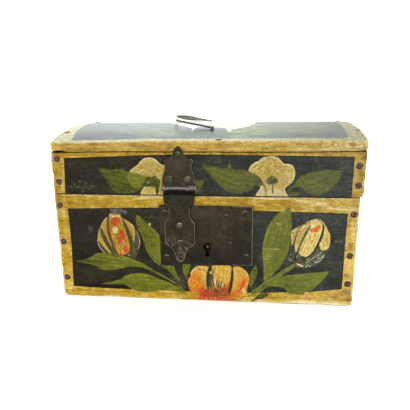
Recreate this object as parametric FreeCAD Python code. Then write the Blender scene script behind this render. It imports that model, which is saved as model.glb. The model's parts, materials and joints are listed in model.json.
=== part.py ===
import FreeCAD, Part
import math
import os

# Painted marriage casket: a nailed board box with a cambered lid, an iron
# hasp over a lock plate, and a small iron bail on the lid.
# Frame: origin under the middle of the case, +X along its length to the
# right, +Y to the back, +Z up.  Millimetres.

V = FreeCAD.Vector

# ---------------------------------------------------------------- dimensions
CASE_W = 299.0          # case length (X)
DEPTH = 174.0           # case and lid depth (Y)
CASE_H = 111.0          # case height to its rim
T_BOTTOM = 6.0          # bottom board
T_FACE = 9.0            # front and back boards, lid rails
T_END = 10.0            # end boards
SEAM = 0.4              # gap between rim and lid
LID_X0, LID_X1 = -149.2, 152.4      # the lid overhangs a little on the right
LID_EDGE = 154.0        # height of the rails at their outer faces
CAMBER = 9.5            # rise of the lid between front and back
T_TOP = 10.0            # bent top board
TOP_X1 = 153.4          # its right end stands out over the end of the lid

PLATE_X0, PLATE_X1 = -43.0, 50.0    # lock plate
PLATE_Z0, PLATE_Z1 = 40.0, 102.0
T_PLATE = 1.5
KEY_X, KEY_Z = 5.0, 59.4            # keyhole and its drill pin
KEY_R = 4.0
KEY_LOW = 49.4

HASP_X = -22.0          # centre line of the hasp
HASP_PIN_Y, HASP_PIN_Z = -89.7, 118.8
HASP_PIN_R = 1.1
KNUCKLE_R = 2.4
T_STRAP = 1.8
T_HASP_PLATE = 1.6
STAPLE_Z1, STAPLE_Z0 = 82.0, 64.0   # the two legs of the hasp staple
STAPLE_R = 1.3
RUN = 0.05              # running clearance of pins

MORTISE_X0, MORTISE_X1 = -31.0, 38.0
MORTISE_Z0, MORTISE_Z1 = 45.0, 96.0
BOLT_Z0, BOLT_Z1 = 68.5, 77.5
BOLT_Y0, BOLT_Y1 = -86.7, -83.1
BOLT_X0, BOLT_X1 = -20.0, 34.0

HINGE_X = 95.0          # rear hinges at plus and minus this
HINGE_Y, HINGE_Z = 91.4, 111.2
HINGE_PIN_R = 1.5

BAIL_FRONT = V(7.0, -46.0, 172.7)   # eyes that carry the bail
BAIL_BACK = V(-3.7, 50.0, 172.3)
BAIL_PIN_R = 1.1
BAIL_LEN_FRONT, BAIL_LEN_BACK = 36.8, 42.5
BAIL_RISE_FRONT, BAIL_RISE_BACK = math.radians(11.0), math.radians(9.0)

HALF_W, HALF_D = CASE_W / 2.0, DEPTH / 2.0
FRONT = -HALF_D
LID_Z0 = CASE_H + SEAM
R_UNDER = (HALF_D ** 2 + CAMBER ** 2) / (2.0 * CAMBER)
Z_CENTRE = LID_EDGE + CAMBER - R_UNDER

nodes = {}


# ------------------------------------------------------------------- helpers
def box(x0, x1, y0, y1, z0, z1):
    return Part.makeBox(x1 - x0, y1 - y0, z1 - z0, V(x0, y0, z0))


def rod(p, q, r):
    d = q.sub(p)
    return Part.makeCylinder(r, d.Length, p, d)


def ball(p, r):
    return Part.makeSphere(r, p)


def fuse(shapes):
    out = shapes[0].fuse(shapes[1:]) if len(shapes) > 1 else shapes[0]
    return out.removeSplitter()


def wire_path(points, r):
    """Round bar along a polyline with ball corners."""
    parts = []
    for a, b in zip(points[:-1], points[1:]):
        parts.append(rod(a, b, r))
    for p in points[1:-1]:
        parts.append(ball(p, r))
    return fuse(parts)


def arc_z(y, extra=0.0):
    return math.sqrt((R_UNDER + extra) ** 2 - y * y) + Z_CENTRE


def lid_profile(y0, y1, z0, x0, x1):
    """Board of the lid whose top follows the underside of the camber."""
    a, b = V(x0, y0, arc_z(y0)), V(x0, y1, arc_z(y1))
    m = V(x0, 0.5 * (y0 + y1), arc_z(0.5 * (y0 + y1)))
    edges = [
        Part.LineSegment(V(x0, y0, z0), V(x0, y1, z0)).toShape(),
        Part.LineSegment(V(x0, y1, z0), b).toShape(),
        Part.Arc(b, m, a).toShape(),
        Part.LineSegment(a, V(x0, y0, z0)).toShape(),
    ]
    return Part.Face(Part.Wire(edges)).extrude(V(x1 - x0, 0, 0))


def plate_xz(points, y_front, thickness, bevel=0.0):
    """Plate cut to an XZ outline; its front outline edges are bevelled."""
    pts = [V(x, y_front, z) for x, z in points]
    face = Part.Face(Part.makePolygon(pts + [pts[0]]))
    solid = face.extrude(V(0, thickness, 0))
    if bevel:
        edges = [e for e in solid.Edges
                 if all(abs(v.Point.y - y_front) < 1e-6 for v in e.Vertexes)]
        solid = solid.makeChamfer(bevel, edges)
    return solid


def nail(p, out, r_head, h_head, r_shank, length):
    """Hand forged nail: low domed head, tapered shank, head facing out."""
    prof = [
        V(0, 0, -length), V(r_shank * 0.35, 0, -length),
        V(r_shank, 0, -length * 0.45), V(r_shank, 0, 0), V(r_head, 0, 0),
        V(r_head, 0, h_head * 0.28), V(r_head * 0.82, 0, h_head * 0.68),
        V(r_head * 0.45, 0, h_head * 0.95), V(0, 0, h_head),
    ]
    face = Part.Face(Part.makePolygon(prof + [prof[0]]))
    s = face.revolve(V(0, 0, 0), V(0, 0, 1), 360)
    s.Placement = FreeCAD.Placement(p, FreeCAD.Rotation(V(0, 0, 1), out))
    return s


def group(shapes):
    return Part.makeCompound(shapes)


# ---------------------------------------------------------------- case boards
IN_Y = FRONT + T_FACE
front = box(-HALF_W, HALF_W, FRONT, IN_Y, T_BOTTOM, CASE_H)
front = front.cut(box(MORTISE_X0, MORTISE_X1, FRONT, IN_Y,
                      MORTISE_Z0, MORTISE_Z1))
# groove in which the hasp staple rides up with the lid, open at the rim
front = front.cut(box(HASP_X - 3.6, HASP_X + 3.6, FRONT, IN_Y - 1.4,
                      MORTISE_Z1 - 1.0, CASE_H))
nodes["front_board"] = front
nodes["back_board"] = box(-HALF_W, HALF_W, -IN_Y, HALF_D, T_BOTTOM, CASE_H)
nodes["left_end_board"] = box(-HALF_W, -HALF_W + T_END, IN_Y, -IN_Y,
                              T_BOTTOM, CASE_H)
nodes["right_end_board"] = box(HALF_W - T_END, HALF_W, IN_Y, -IN_Y,
                               T_BOTTOM, CASE_H)
nodes["bottom_board"] = box(-HALF_W, HALF_W, FRONT, HALF_D, 0, T_BOTTOM)

# nails of the corners: (x, z) on the front face, then the back face
F_OUT, B_OUT = V(0, -1, 0), V(0, 1, 0)
front_xz = [(-144.6, 99.6), (-144.4, 61.0), (-144.4, 21.1),
            (144.6, 95.2), (143.6, 53.4), (143.4, 23.8)]
nodes["front_corner_nails"] = group(
    [nail(V(x, FRONT, z), F_OUT, 3.2, 1.3, 1.1, 24.0) for x, z in front_xz])
back_xz = [(-143.8, 98.0), (-143.4, 59.0), (-144.2, 20.0),
           (144.0, 97.0), (143.6, 57.5), (144.2, 22.0)]
nodes["back_corner_nails"] = group(
    [nail(V(x, HALF_D, z), B_OUT, 3.2, 1.3, 1.1, 24.0) for x, z in back_xz])


def flush_nail(x, y):
    """Nail driven level with the underside of the bottom board."""
    return rod(V(x, y, 0.0), V(x, y, 22.0), 1.1).fuse(
        Part.makeCone(2.6, 1.1, 1.6, V(x, y, 0.0), V(0, 0, 1)))


under = [(-120, -82.4), (-40, -82.6), (45, -82.4), (121, -82.5),
         (-118, 82.5), (-38, 82.4), (42, 82.6), (119, 82.4),
         (-143.5, -40), (-143.4, 42), (143.5, -42), (143.4, 40)]
nodes["bottom_nails"] = group([flush_nail(x, y) for x, y in under])

# ----------------------------------------------------------------- lock plate
PLATE_FRONT = FRONT - T_PLATE
plate = plate_xz([(PLATE_X0, PLATE_Z1), (PLATE_X0 + 0.4, PLATE_Z0),
                  (PLATE_X1, PLATE_Z0 + 0.6), (PLATE_X1, PLATE_Z1)],
                 PLATE_FRONT, T_PLATE, 0.4)
keyhole = Part.makeCylinder(KEY_R, 4.0, V(KEY_X, PLATE_FRONT - 1.0, KEY_Z),
                            V(0, 1, 0))
kp = [V(KEY_X - 1.6, PLATE_FRONT - 1.0, KEY_Z - 2.0),
      V(KEY_X + 1.6, PLATE_FRONT - 1.0, KEY_Z - 2.0),
      V(KEY_X + 1.5, PLATE_FRONT - 1.0, KEY_Z - 5.6),
      V(KEY_X + 2.6, PLATE_FRONT - 1.0, KEY_LOW),
      V(KEY_X - 2.6, PLATE_FRONT - 1.0, KEY_LOW),
      V(KEY_X - 1.5, PLATE_FRONT - 1.0, KEY_Z - 5.6)]
keyslot = Part.Face(Part.makePolygon(kp + [kp[0]])).extrude(V(0, 4.0, 0))
plate = plate.cut(keyhole).cut(keyslot)
# slot for the hasp staple, open at the top edge
plate = plate.cut(box(HASP_X - 3.2, HASP_X + 3.2, PLATE_FRONT - 1.0,
                      FRONT + 1.0, STAPLE_Z0 - 3.0, PLATE_Z1 + 1.0))
nodes["lock_plate"] = plate

plate_nail_xz = [(41.6, 94.3), (43.4, 49.8), (-36.9, 93.9), (-36.4, 47.2)]
nodes["lock_plate_nails"] = group(
    [nail(V(x, PLATE_FRONT, z), F_OUT, 3.5, 1.4, 1.1, 10.0)
     for x, z in plate_nail_xz])

RIV1, RIV2 = (23.5, 92.0), (27.6, 64.0)


def rivet(x, z):
    head = nail(V(x, PLATE_FRONT, z), F_OUT, 2.0, 1.0, 0.9, T_PLATE)
    stem = rod(V(x, PLATE_FRONT, z), V(x, FRONT + 4.6, z), 0.9)
    return head.fuse(stem).removeSplitter()


nodes["lock_rivets"] = group([rivet(*RIV1), rivet(*RIV2)])
nodes["lock_plate"] = nodes["lock_plate"].cut(
    group([rod(V(x, PLATE_FRONT - 1, z), V(x, FRONT + 1, z), 0.9)
           for x, z in (RIV1, RIV2)]))

# sheet iron pan that closes the lock from the inside
PAN_Y1 = IN_Y + 4.5
pan = box(MORTISE_X0, MORTISE_X1, FRONT, PAN_Y1, MORTISE_Z0, MORTISE_Z1)
pan = pan.cut(box(MORTISE_X0 + 1, MORTISE_X1 - 1, FRONT, PAN_Y1 - 1,
                  MORTISE_Z0 + 1, MORTISE_Z1 - 1))
flange = box(MORTISE_X0 - 5, MORTISE_X1 + 5, IN_Y, IN_Y + 1.0,
             MORTISE_Z0 - 4, MORTISE_Z1 + 4).cut(
    box(MORTISE_X0, MORTISE_X1, IN_Y, IN_Y + 1.0, MORTISE_Z0, MORTISE_Z1))
pan = pan.fuse(flange).removeSplitter()
pan = pan.cut(box(HASP_X - 3.6, HASP_X + 3.6, FRONT, IN_Y - 1.4,
                  MORTISE_Z1 - 1.5, MORTISE_Z1 + 0.5))
PIN_R = 1.4
pan = pan.cut(rod(V(KEY_X, PAN_Y1 - 2, KEY_Z), V(KEY_X, PAN_Y1 + 1, KEY_Z),
                  PIN_R))
nodes["lock_case"] = pan
pin = rod(V(KEY_X, PAN_Y1, KEY_Z), V(KEY_X, PLATE_FRONT + 1.0, KEY_Z), PIN_R)
tip = Part.makeCone(PIN_R, 0.7, 0.8, V(KEY_X, PLATE_FRONT + 1.0, KEY_Z),
                    V(0, -1, 0))
nodes["key_pin"] = fuse([pin, tip])

# bolt with a notch for the key bit, and its two guides
bolt = box(BOLT_X0, BOLT_X1, BOLT_Y0, BOLT_Y1, BOLT_Z0, BOLT_Z1)
bolt = bolt.cut(box(KEY_X - 1.0, KEY_X + 8.0, BOLT_Y0 - 1, BOLT_Y1 + 1,
                    BOLT_Z0 - 1, BOLT_Z0 + 3.2))
bolt = bolt.makeChamfer(0.8, [e for e in bolt.Edges if all(
    abs(v.Point.x - BOLT_X0) < 1e-6 for v in e.Vertexes)])
nodes["lock_bolt"] = bolt


def guide(x0, x1, rivet_hole=None):
    y_back = BOLT_Y1 + 0.3
    z_lo, z_hi = BOLT_Z0 - 0.3, BOLT_Z1 + 0.3
    parts = [box(x0, x1, y_back, y_back + 1.2, z_lo - 1.2, z_hi + 1.2),
             box(x0, x1, FRONT, y_back + 1.2, z_lo - 1.2, z_lo),
             box(x0, x1, FRONT, y_back + 1.2, z_hi, z_hi + 1.2),
             box(x0, x1, FRONT, FRONT + 1.2, z_lo - 6.0, z_lo),
             box(x0, x1, FRONT, FRONT + 1.2, z_hi, z_hi + 5.0)]
    s = fuse(parts)
    if rivet_hole:
        x, z = rivet_hole
        s = s.cut(rod(V(x, FRONT - 1, z), V(x, FRONT + 5.0, z), 0.9))
    return s


nodes["bolt_guides"] = group([guide(24.6, 30.6, RIV2), guide(-15.0, -9.5)])

# leaf spring over the bolt, hung on the upper rivet
sp = [(RIV1[0] + 1.5, RIV1[1] - 2.0), (RIV1[0] - 6.0, RIV1[1] - 3.6),
      (8.0, 82.0), (1.0, 79.0), (-3.5, 79.0), (-6.0, 81.0)]
leaf_up = [V(x, FRONT + 0.6, z) for x, z in sp]
leaf_dn = [V(x, FRONT + 0.6, z - 0.9) for x, z in sp]
leaf = Part.Face(Part.makePolygon(leaf_up + leaf_dn[::-1] + [leaf_up[0]]))
leaf = leaf.extrude(V(0, 4.0, 0))
eye = Part.makeCylinder(2.6, 4.0, V(RIV1[0], FRONT + 0.6, RIV1[1]), V(0, 1, 0))
nodes["bolt_spring"] = leaf.fuse(eye).removeSplitter().cut(
    rod(V(RIV1[0], FRONT - 1, RIV1[1]), V(RIV1[0], FRONT + 6, RIV1[1]), 0.9))

# -------------------------------------------------------------- rear hinges
def hinge_staple(x):
    w = 8.0
    inner = -IN_Y - 1.4
    r = HINGE_PIN_R
    pts = [V(x - w, inner, 92.0), V(x - w, inner, 101.0),
           V(x - w, HALF_D + 1.6, 101.0), V(x - w, HINGE_Y, HINGE_Z),
           V(x + w, HINGE_Y, HINGE_Z), V(x + w, HALF_D + 1.6, 101.0),
           V(x + w, inner, 101.0), V(x + w, inner, 92.0)]
    return wire_path(pts, r)


nodes["left_hinge_staple"] = hinge_staple(-HINGE_X)
nodes["right_hinge_staple"] = hinge_staple(HINGE_X)


def hinge_strap(x):
    """Leaf nailed to the back rail, rolled into an eye round the staple."""
    ring = Part.makeCylinder(4.1, 9.0, V(x - 4.5, HINGE_Y, HINGE_Z),
                             V(1, 0, 0))
    out = [(-4.5, HINGE_Z + 1.0), (4.5, HINGE_Z + 1.0), (4.5, 118.0),
           (6.5, 121.0), (6.5, 140.0), (4.2, 142.0), (6.0, 146.0),
           (0.0, 153.0), (-6.0, 146.0), (-4.2, 142.0), (-6.5, 140.0),
           (-6.5, 121.0), (-4.5, 118.0)]
    pts = [V(x + a, HALF_D, z) for a, z in out]
    leaf = Part.Face(Part.makePolygon(pts + [pts[0]])).extrude(V(0, 1.6, 0))
    s = ring.fuse(leaf).removeSplitter()
    return s.cut(Part.makeCylinder(HINGE_PIN_R + RUN, 11.0,
                                   V(x - 5.5, HINGE_Y, HINGE_Z), V(1, 0, 0)))


nodes["left_hinge_strap"] = hinge_strap(-HINGE_X)
nodes["right_hinge_strap"] = hinge_strap(HINGE_X)
nodes["hinge_strap_nails"] = group(
    [nail(V(sx * HINGE_X, HALF_D + 1.6, z), B_OUT, 2.7, 1.2, 1.0, 9.5)
     for sx in (-1, 1) for z in (125.0, 137.0)])

# ------------------------------------------------------------------ lid boards
nodes["lid_front_rail"] = lid_profile(FRONT, IN_Y, LID_Z0, LID_X0, LID_X1)
nodes["lid_back_rail"] = lid_profile(-IN_Y, HALF_D, LID_Z0, LID_X0, LID_X1)
nodes["lid_left_end"] = lid_profile(IN_Y, -IN_Y, LID_Z0, LID_X0,
                                    LID_X0 + T_END)
nodes["lid_right_end"] = lid_profile(IN_Y, -IN_Y, LID_Z0, LID_X1 - T_END,
                                     LID_X1)


def top_edge(y, e):
    return V(LID_X0, y, arc_z(y, e))


top_edges = [
    Part.Arc(top_edge(FRONT, 0), top_edge(0, 0), top_edge(HALF_D, 0)).toShape(),
    Part.LineSegment(top_edge(HALF_D, 0), top_edge(HALF_D, T_TOP)).toShape(),
    Part.Arc(top_edge(HALF_D, T_TOP), top_edge(0, T_TOP),
             top_edge(FRONT, T_TOP)).toShape(),
    Part.LineSegment(top_edge(FRONT, T_TOP), top_edge(FRONT, 0)).toShape(),
]
nodes["lid_top_board"] = Part.Face(Part.Wire(top_edges)).extrude(
    V(TOP_X1 - LID_X0, 0, 0))

lid_xz = [(-142.8, 146.8), (-142.9, 123.8), (146.0, 141.6), (146.6, 123.1)]
nodes["lid_front_nails"] = group(
    [nail(V(x, FRONT, z), F_OUT, 3.2, 1.3, 1.1, 24.0) for x, z in lid_xz])
nodes["lid_back_nails"] = group(
    [nail(V(x, HALF_D, z), B_OUT, 3.2, 1.3, 1.1, 24.0)
     for x, z in [(-143.2, 144.0), (-142.8, 121.5), (146.4, 145.0),
                  (146.2, 122.0)]])

top_xy = [(149.4, -49.8), (146.4, 40.0), (146.4, 83.0), (-143.2, -55.2),
          (-143.0, 38.0), (-143.4, 83.2), (16.4, -81.8), (-96.0, 82.6),
          (2.0, 82.4), (101.0, 82.8)]


def top_nail(x, y):
    z = arc_z(y, T_TOP)
    n = V(0, y, z - Z_CENTRE)
    n.normalize()
    return nail(V(x, y, z - 0.25), n, 2.9, 1.2, 1.0, 15.0)


nodes["lid_top_nails"] = group([top_nail(x, y) for x, y in top_xy])

# ------------------------------------------------------------------- hasp
HP_FRONT = FRONT - T_HASP_PLATE
# shaped plate with a pointed finial, shoulders, waist and flared foot
half = [(0.0, 160.2), (2.2, 158.4), (4.2, 155.6), (5.3, 153.2), (5.4, 151.4),
        (7.6, 150.2), (12.6, 148.0), (15.0, 145.4), (13.6, 142.6),
        (12.9, 139.6), (13.4, 136.4), (15.0, 132.4), (16.1, 128.4),
        (16.3, 121.6)]
KN = [(-38.3, -34.6), (-34.3, -13.3), (-13.0, -4.4)]   # knuckles along X
right_side = [(HASP_X + a, z) for a, z in half[1:]]
left_side = [(HASP_X - a, z) for a, z in half[1:]][::-1]
outline = [(HASP_X, half[0][1])] + right_side + left_side
hp = plate_xz(outline, HP_FRONT, T_HASP_PLATE, 0.45)
for x0, x1 in (KN[0], KN[2]):
    hp = hp.fuse(box(x0, x1, HP_FRONT, FRONT, HASP_PIN_Z, 124.0))
    hp = hp.fuse(Part.makeCylinder(KNUCKLE_R, x1 - x0,
                                   V(x0, HASP_PIN_Y, HASP_PIN_Z), V(1, 0, 0)))
hp = hp.removeSplitter().cut(
    Part.makeCylinder(HASP_PIN_R, 50.0, V(HASP_X - 25, HASP_PIN_Y, HASP_PIN_Z),
                      V(1, 0, 0)))
nodes["hasp_hinge_plate"] = hp
nodes["hasp_plate_nails"] = group([
    nail(V(HASP_X, HP_FRONT, 152.6), F_OUT, 2.4, 1.2, 0.9, 9.0),
    nail(V(HASP_X - 9.2, HP_FRONT, 128.0), F_OUT, 3.6, 1.3, 1.1, 9.6),
    nail(V(HASP_X + 9.1, HP_FRONT, 127.6), F_OUT, 3.6, 1.3, 1.1, 9.6)])
nodes["hasp_hinge_pin"] = Part.makeCylinder(
    HASP_PIN_R, 34.9, V(-38.8, HASP_PIN_Y, HASP_PIN_Z), V(1, 0, 0))

ST_FRONT = HASP_PIN_Y - T_STRAP / 2.0
st_half = [(14.2, 115.2), (14.0, 106.0), (13.4, 102.4), (10.9, 99.4),
           (10.3, 95.6), (10.6, 91.6), (12.2, 88.4), (15.0, 85.0),
           (15.3, 80.0), (15.3, 63.0), (13.6, 61.0), (8.4, 57.6), (6.6, 54.4),
           (5.0, 48.6), (3.4, 44.6), (1.2, 43.0)]
st_right = [(HASP_X + a, z) for a, z in st_half]
st_left = [(HASP_X - a, z) for a, z in st_half][::-1]
strap = plate_xz(st_right + st_left, ST_FRONT, T_STRAP, 0.55)
x0, x1 = KN[1]
strap = strap.fuse(box(x0, x1, ST_FRONT, ST_FRONT + T_STRAP, 113.0, HASP_PIN_Z))
strap = strap.fuse(Part.makeCylinder(KNUCKLE_R, x1 - x0,
                                     V(x0, HASP_PIN_Y, HASP_PIN_Z), V(1, 0, 0)))
strap = strap.removeSplitter().cut(
    Part.makeCylinder(HASP_PIN_R + RUN, 40.0,
                      V(HASP_X - 20, HASP_PIN_Y, HASP_PIN_Z), V(1, 0, 0)))
STAPLE_IN = -79.9 - STAPLE_R
legs = [rod(V(HASP_X, ST_FRONT - 0.2, z), V(HASP_X, STAPLE_IN, z), STAPLE_R)
        for z in (STAPLE_Z0, STAPLE_Z1)]
strap = strap.cut(group([rod(V(HASP_X, ST_FRONT - 1, z),
                             V(HASP_X, ST_FRONT + T_STRAP + 1, z), STAPLE_R)
                         for z in (STAPLE_Z0, STAPLE_Z1)]))
nodes["hasp_strap"] = strap
heads = [nail(V(HASP_X, ST_FRONT, z), F_OUT, 3.3, 1.5, STAPLE_R, 1.0)
         for z in (STAPLE_Z0, STAPLE_Z1)]
nodes["hasp_staple"] = fuse(legs + heads + [
    rod(V(HASP_X, STAPLE_IN, STAPLE_Z0), V(HASP_X, STAPLE_IN, STAPLE_Z1),
        STAPLE_R),
    ball(V(HASP_X, STAPLE_IN, STAPLE_Z0), STAPLE_R),
    ball(V(HASP_X, STAPLE_IN, STAPLE_Z1), STAPLE_R)])

# -------------------------------------------------------------------- bail
axis = BAIL_BACK.sub(BAIL_FRONT)
axis.normalize()                                  # front eye to back eye
side = V(-axis.y, axis.x, 0)                      # towards the left end
side.normalize()


def arm_dir(rise):
    return V(side.x * math.cos(rise), side.y * math.cos(rise), math.sin(rise))


def bail_eye(c):
    """Ring on a shank driven through the top board and bent over below."""
    ring = Part.makeCylinder(1.95, 2.2, c.sub(axis * 1.1), axis)
    z_in = arc_z(c.y, 0)
    shank = rod(V(c.x, c.y, c.z - 1.4), V(c.x, c.y, z_in - 1.3), 1.2)
    clinch = rod(V(c.x, c.y, z_in - 1.3), V(c.x + 6.0, c.y, z_in - 1.3), 1.2)
    knee = ball(V(c.x, c.y, z_in - 1.3), 1.2)
    s = fuse([ring, shank, clinch, knee])
    return s.cut(Part.makeCylinder(BAIL_PIN_R + RUN, 8.0, c.sub(axis * 4.0),
                                   axis))


nodes["handle_eye_front"] = bail_eye(BAIL_FRONT)
nodes["handle_eye_back"] = bail_eye(BAIL_BACK)

IN_OFF = 2.9                                      # arms run inside the eyes
a0 = BAIL_FRONT.add(axis * IN_OFF)
b0 = BAIL_BACK.sub(axis * IN_OFF)
a1 = a0.add(arm_dir(BAIL_RISE_FRONT) * BAIL_LEN_FRONT).add(axis * 7.0)
b1 = b0.add(arm_dir(BAIL_RISE_BACK) * BAIL_LEN_BACK).sub(axis * 9.0)
r_arm = 1.15
# journals with peened ends, outside the eyes
journals = []
for c, s in ((BAIL_FRONT, -1.0), (BAIL_BACK, 1.0)):
    journals.append(rod(c.sub(axis * (s * (IN_OFF + 0.9))),
                        c.add(axis * (s * 2.4)), BAIL_PIN_R))
    journals.append(rod(c.add(axis * (s * 1.7)), c.add(axis * (s * 2.9)), 1.45))
arm_front = wire_path([a0, a1], r_arm)
grip = rod(a1, b1, 1.08)
# back arm hammered out to a leaf that stands on edge
lf = [(0.0, 0.9), (9.5, 1.5), (17.0, 2.4), (23.0, 2.95), (28.5, 2.9),
      (33.2, 2.3), (36.5, 1.6), (39.0, 1.1)]
d_back = b1.sub(b0)
L_back = d_back.Length
d_back.normalize()
up_b = d_back.cross(axis)
up_b = up_b if up_b.z > 0 else up_b.negative()
nrm_b = d_back.cross(up_b)
k = L_back / 39.0
upper = [b0.add(d_back * (u * k)).add(up_b * h) for u, h in lf]
lower = [b0.add(d_back * (u * k)).sub(up_b * h) for u, h in lf]
ring_pts = [p.sub(nrm_b * 1.0) for p in upper + lower[::-1]]
leaf_arm = Part.Face(Part.makePolygon(ring_pts + [ring_pts[0]])).extrude(
    nrm_b * 2.0)
bail = journals[0]
for piece in (journals[1], ball(a0, 1.28), arm_front, ball(a1, 1.42), grip,
              ball(b1, 1.6), leaf_arm, ball(b0, 1.28), journals[2],
              journals[3]):
    bail = bail.fuse(piece)
nodes["bail_handle"] = bail.removeSplitter()

# ------------------------------------------------------------------- export
os.makedirs("parts", exist_ok=True)
for name in sorted(nodes):
    s = nodes[name]
    ok = s.isValid()
    print("%-20s solids %2d  volume %9.1f  valid %s" % (
        name, len(s.Solids), s.Volume, ok))
    s.exportStep("parts/%s.step" % name)
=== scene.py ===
import json
import math

import bmesh
import bpy
import numpy as np
from mathutils import Matrix, Vector

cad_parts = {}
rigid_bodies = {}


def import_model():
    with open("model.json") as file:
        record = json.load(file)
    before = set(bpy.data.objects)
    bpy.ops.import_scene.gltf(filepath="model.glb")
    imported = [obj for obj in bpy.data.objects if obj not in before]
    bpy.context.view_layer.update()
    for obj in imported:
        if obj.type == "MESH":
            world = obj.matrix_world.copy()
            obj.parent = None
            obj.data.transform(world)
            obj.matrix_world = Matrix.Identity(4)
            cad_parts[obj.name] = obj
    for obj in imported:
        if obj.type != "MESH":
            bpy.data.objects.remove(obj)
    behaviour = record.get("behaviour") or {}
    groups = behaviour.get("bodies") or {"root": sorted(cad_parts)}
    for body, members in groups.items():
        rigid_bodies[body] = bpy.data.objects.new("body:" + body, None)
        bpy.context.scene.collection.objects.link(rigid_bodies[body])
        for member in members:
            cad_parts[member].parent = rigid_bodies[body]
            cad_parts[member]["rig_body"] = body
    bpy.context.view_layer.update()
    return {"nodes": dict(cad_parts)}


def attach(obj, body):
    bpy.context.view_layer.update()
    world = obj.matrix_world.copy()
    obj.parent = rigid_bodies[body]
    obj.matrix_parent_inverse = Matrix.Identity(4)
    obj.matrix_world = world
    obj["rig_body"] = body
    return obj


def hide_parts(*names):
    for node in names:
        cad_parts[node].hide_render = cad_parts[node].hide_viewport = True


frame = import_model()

N = frame["nodes"]
SCN = bpy.context.scene
MM = 0.001

# --------------------------------------------------------------- board sizes (mm)
HALF_W, HALF_D = 149.5, 87.0
IN_Y = 78.0
RIM, LID_Z0 = 111.0, 111.4
LID_X0, LID_X1, TOP_X1 = -149.2, 152.4, 153.4
LID_EDGE = 154.0
R_UNDER, Z_C, T_TOP = 403.118, -239.618, 10.0


def arc_z(y, extra=0.0):
    return np.sqrt((R_UNDER + extra) ** 2 - np.asarray(y, float) ** 2) + Z_C


# --------------------------------------------------------------- seeded noise
def _hash(ix, iy, iz, seed):
    m = 0xFFFFFFFF
    h = (ix * 374761393 + iy * 668265263 + iz * 1440662683 + seed * 974634777) & m
    h = ((h ^ (h >> 13)) * 1274126177) & m
    h = ((h ^ (h >> 15)) * 668265263) & m
    return ((h ^ (h >> 16)) & 0xFFFF) / 32767.5 - 1.0


def vnoise(p, size, seed=0):
    """Smooth value noise from -1 to 1, features of about size (mm)."""
    q = np.asarray(p, float) / np.asarray(size, float)
    i = np.floor(q).astype(np.int64)
    f = q - i
    f = f * f * (3 - 2 * f)
    out = np.zeros(len(q))
    for dx in (0, 1):
        wx = f[:, 0] if dx else 1 - f[:, 0]
        for dy in (0, 1):
            wy = f[:, 1] if dy else 1 - f[:, 1]
            for dz in (0, 1):
                wz = f[:, 2] if dz else 1 - f[:, 2]
                out += wx * wy * wz * _hash(i[:, 0] + dx, i[:, 1] + dy, i[:, 2] + dz, seed)
    return out


def fbm(p, size, seed=0, octaves=3):
    out, amp, tot = 0.0, 1.0, 0.0
    for k in range(octaves):
        out = out + amp * vnoise(p, np.asarray(size, float) / 2 ** k, seed + 17 * k)
        tot += amp
        amp *= 0.5
    return out / tot


def sstep(x, a, b):
    t = np.clip((np.asarray(x, float) - a) / (b - a), 0, 1)
    return t * t * (3 - 2 * t)


# --------------------------------------------------------------- painted outlines
# Each outline is drawn on its own face in millimetres: x, z on the front.
LID_PANEL = [(-135.5, 147.7), (-93.7, 149.4), (-50.6, 151.0), (-0.9, 151.8), (74.2, 151.0), (141.3, 150.2), (141.0, 104.0), (-138.0, 104.0)]
CASE_PANEL = [(-136.6, 96.4), (-75.2, 98.0), (-44.6, 98.8), (51.7, 97.4), (139.0, 96.2), (138.4, 73.9), (138.3, 18.0), (106.6, 13.6), (47.9, 10.3), (-17.9, 9.4), (-104.2, 9.6), (-138.6, 10.7), (-136.3, 58.0)]

CREAM = {
    "F1": [(-70.0, 135.0), (-67.5, 137.4), (-64.1, 140.0), (-61.3, 141.9), (-59.6, 144.3), (-56.2, 147.0), (-52.4, 148.3), (-47.6, 148.4), (-44.0, 146.7), (-41.5, 144.1), (-39.4, 142.3), (-35.3, 140.8), (-30.1, 136.6), (-27.2, 128.1), (-30.6, 121.6), (-34.1, 115.1), (-34.8, 108.6), (-59.7, 108.2), (-60.0, 114.7), (-56.6, 119.2), (-63.0, 121.3), (-68.0, 127.7)],
    "F2": [(51.7, 109.2), (53.1, 114.6), (55.7, 118.6), (56.8, 120.8), (52.4, 123.5), (46.9, 131.3), (44.9, 136.8), (47.3, 141.7), (49.4, 143.1), (52.0, 145.0), (54.2, 145.0), (56.2, 147.7), (59.4, 149.4), (63.6, 150.2), (67.8, 150.3), (72.1, 148.9), (74.8, 146.2), (77.0, 143.5), (79.1, 142.8), (83.3, 142.8), (86.1, 140.9), (88.1, 137.1), (88.3, 132.7), (87.1, 128.3), (84.5, 124.5), (81.4, 122.2), (79.4, 119.4), (80.0, 116.1), (83.0, 109.2)],
    "T3w6": [(92.9, 42.2), (95.3, 44.1), (98.7, 43.0), (98.2, 40.3), (94.3, 40.2)],
}
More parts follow.
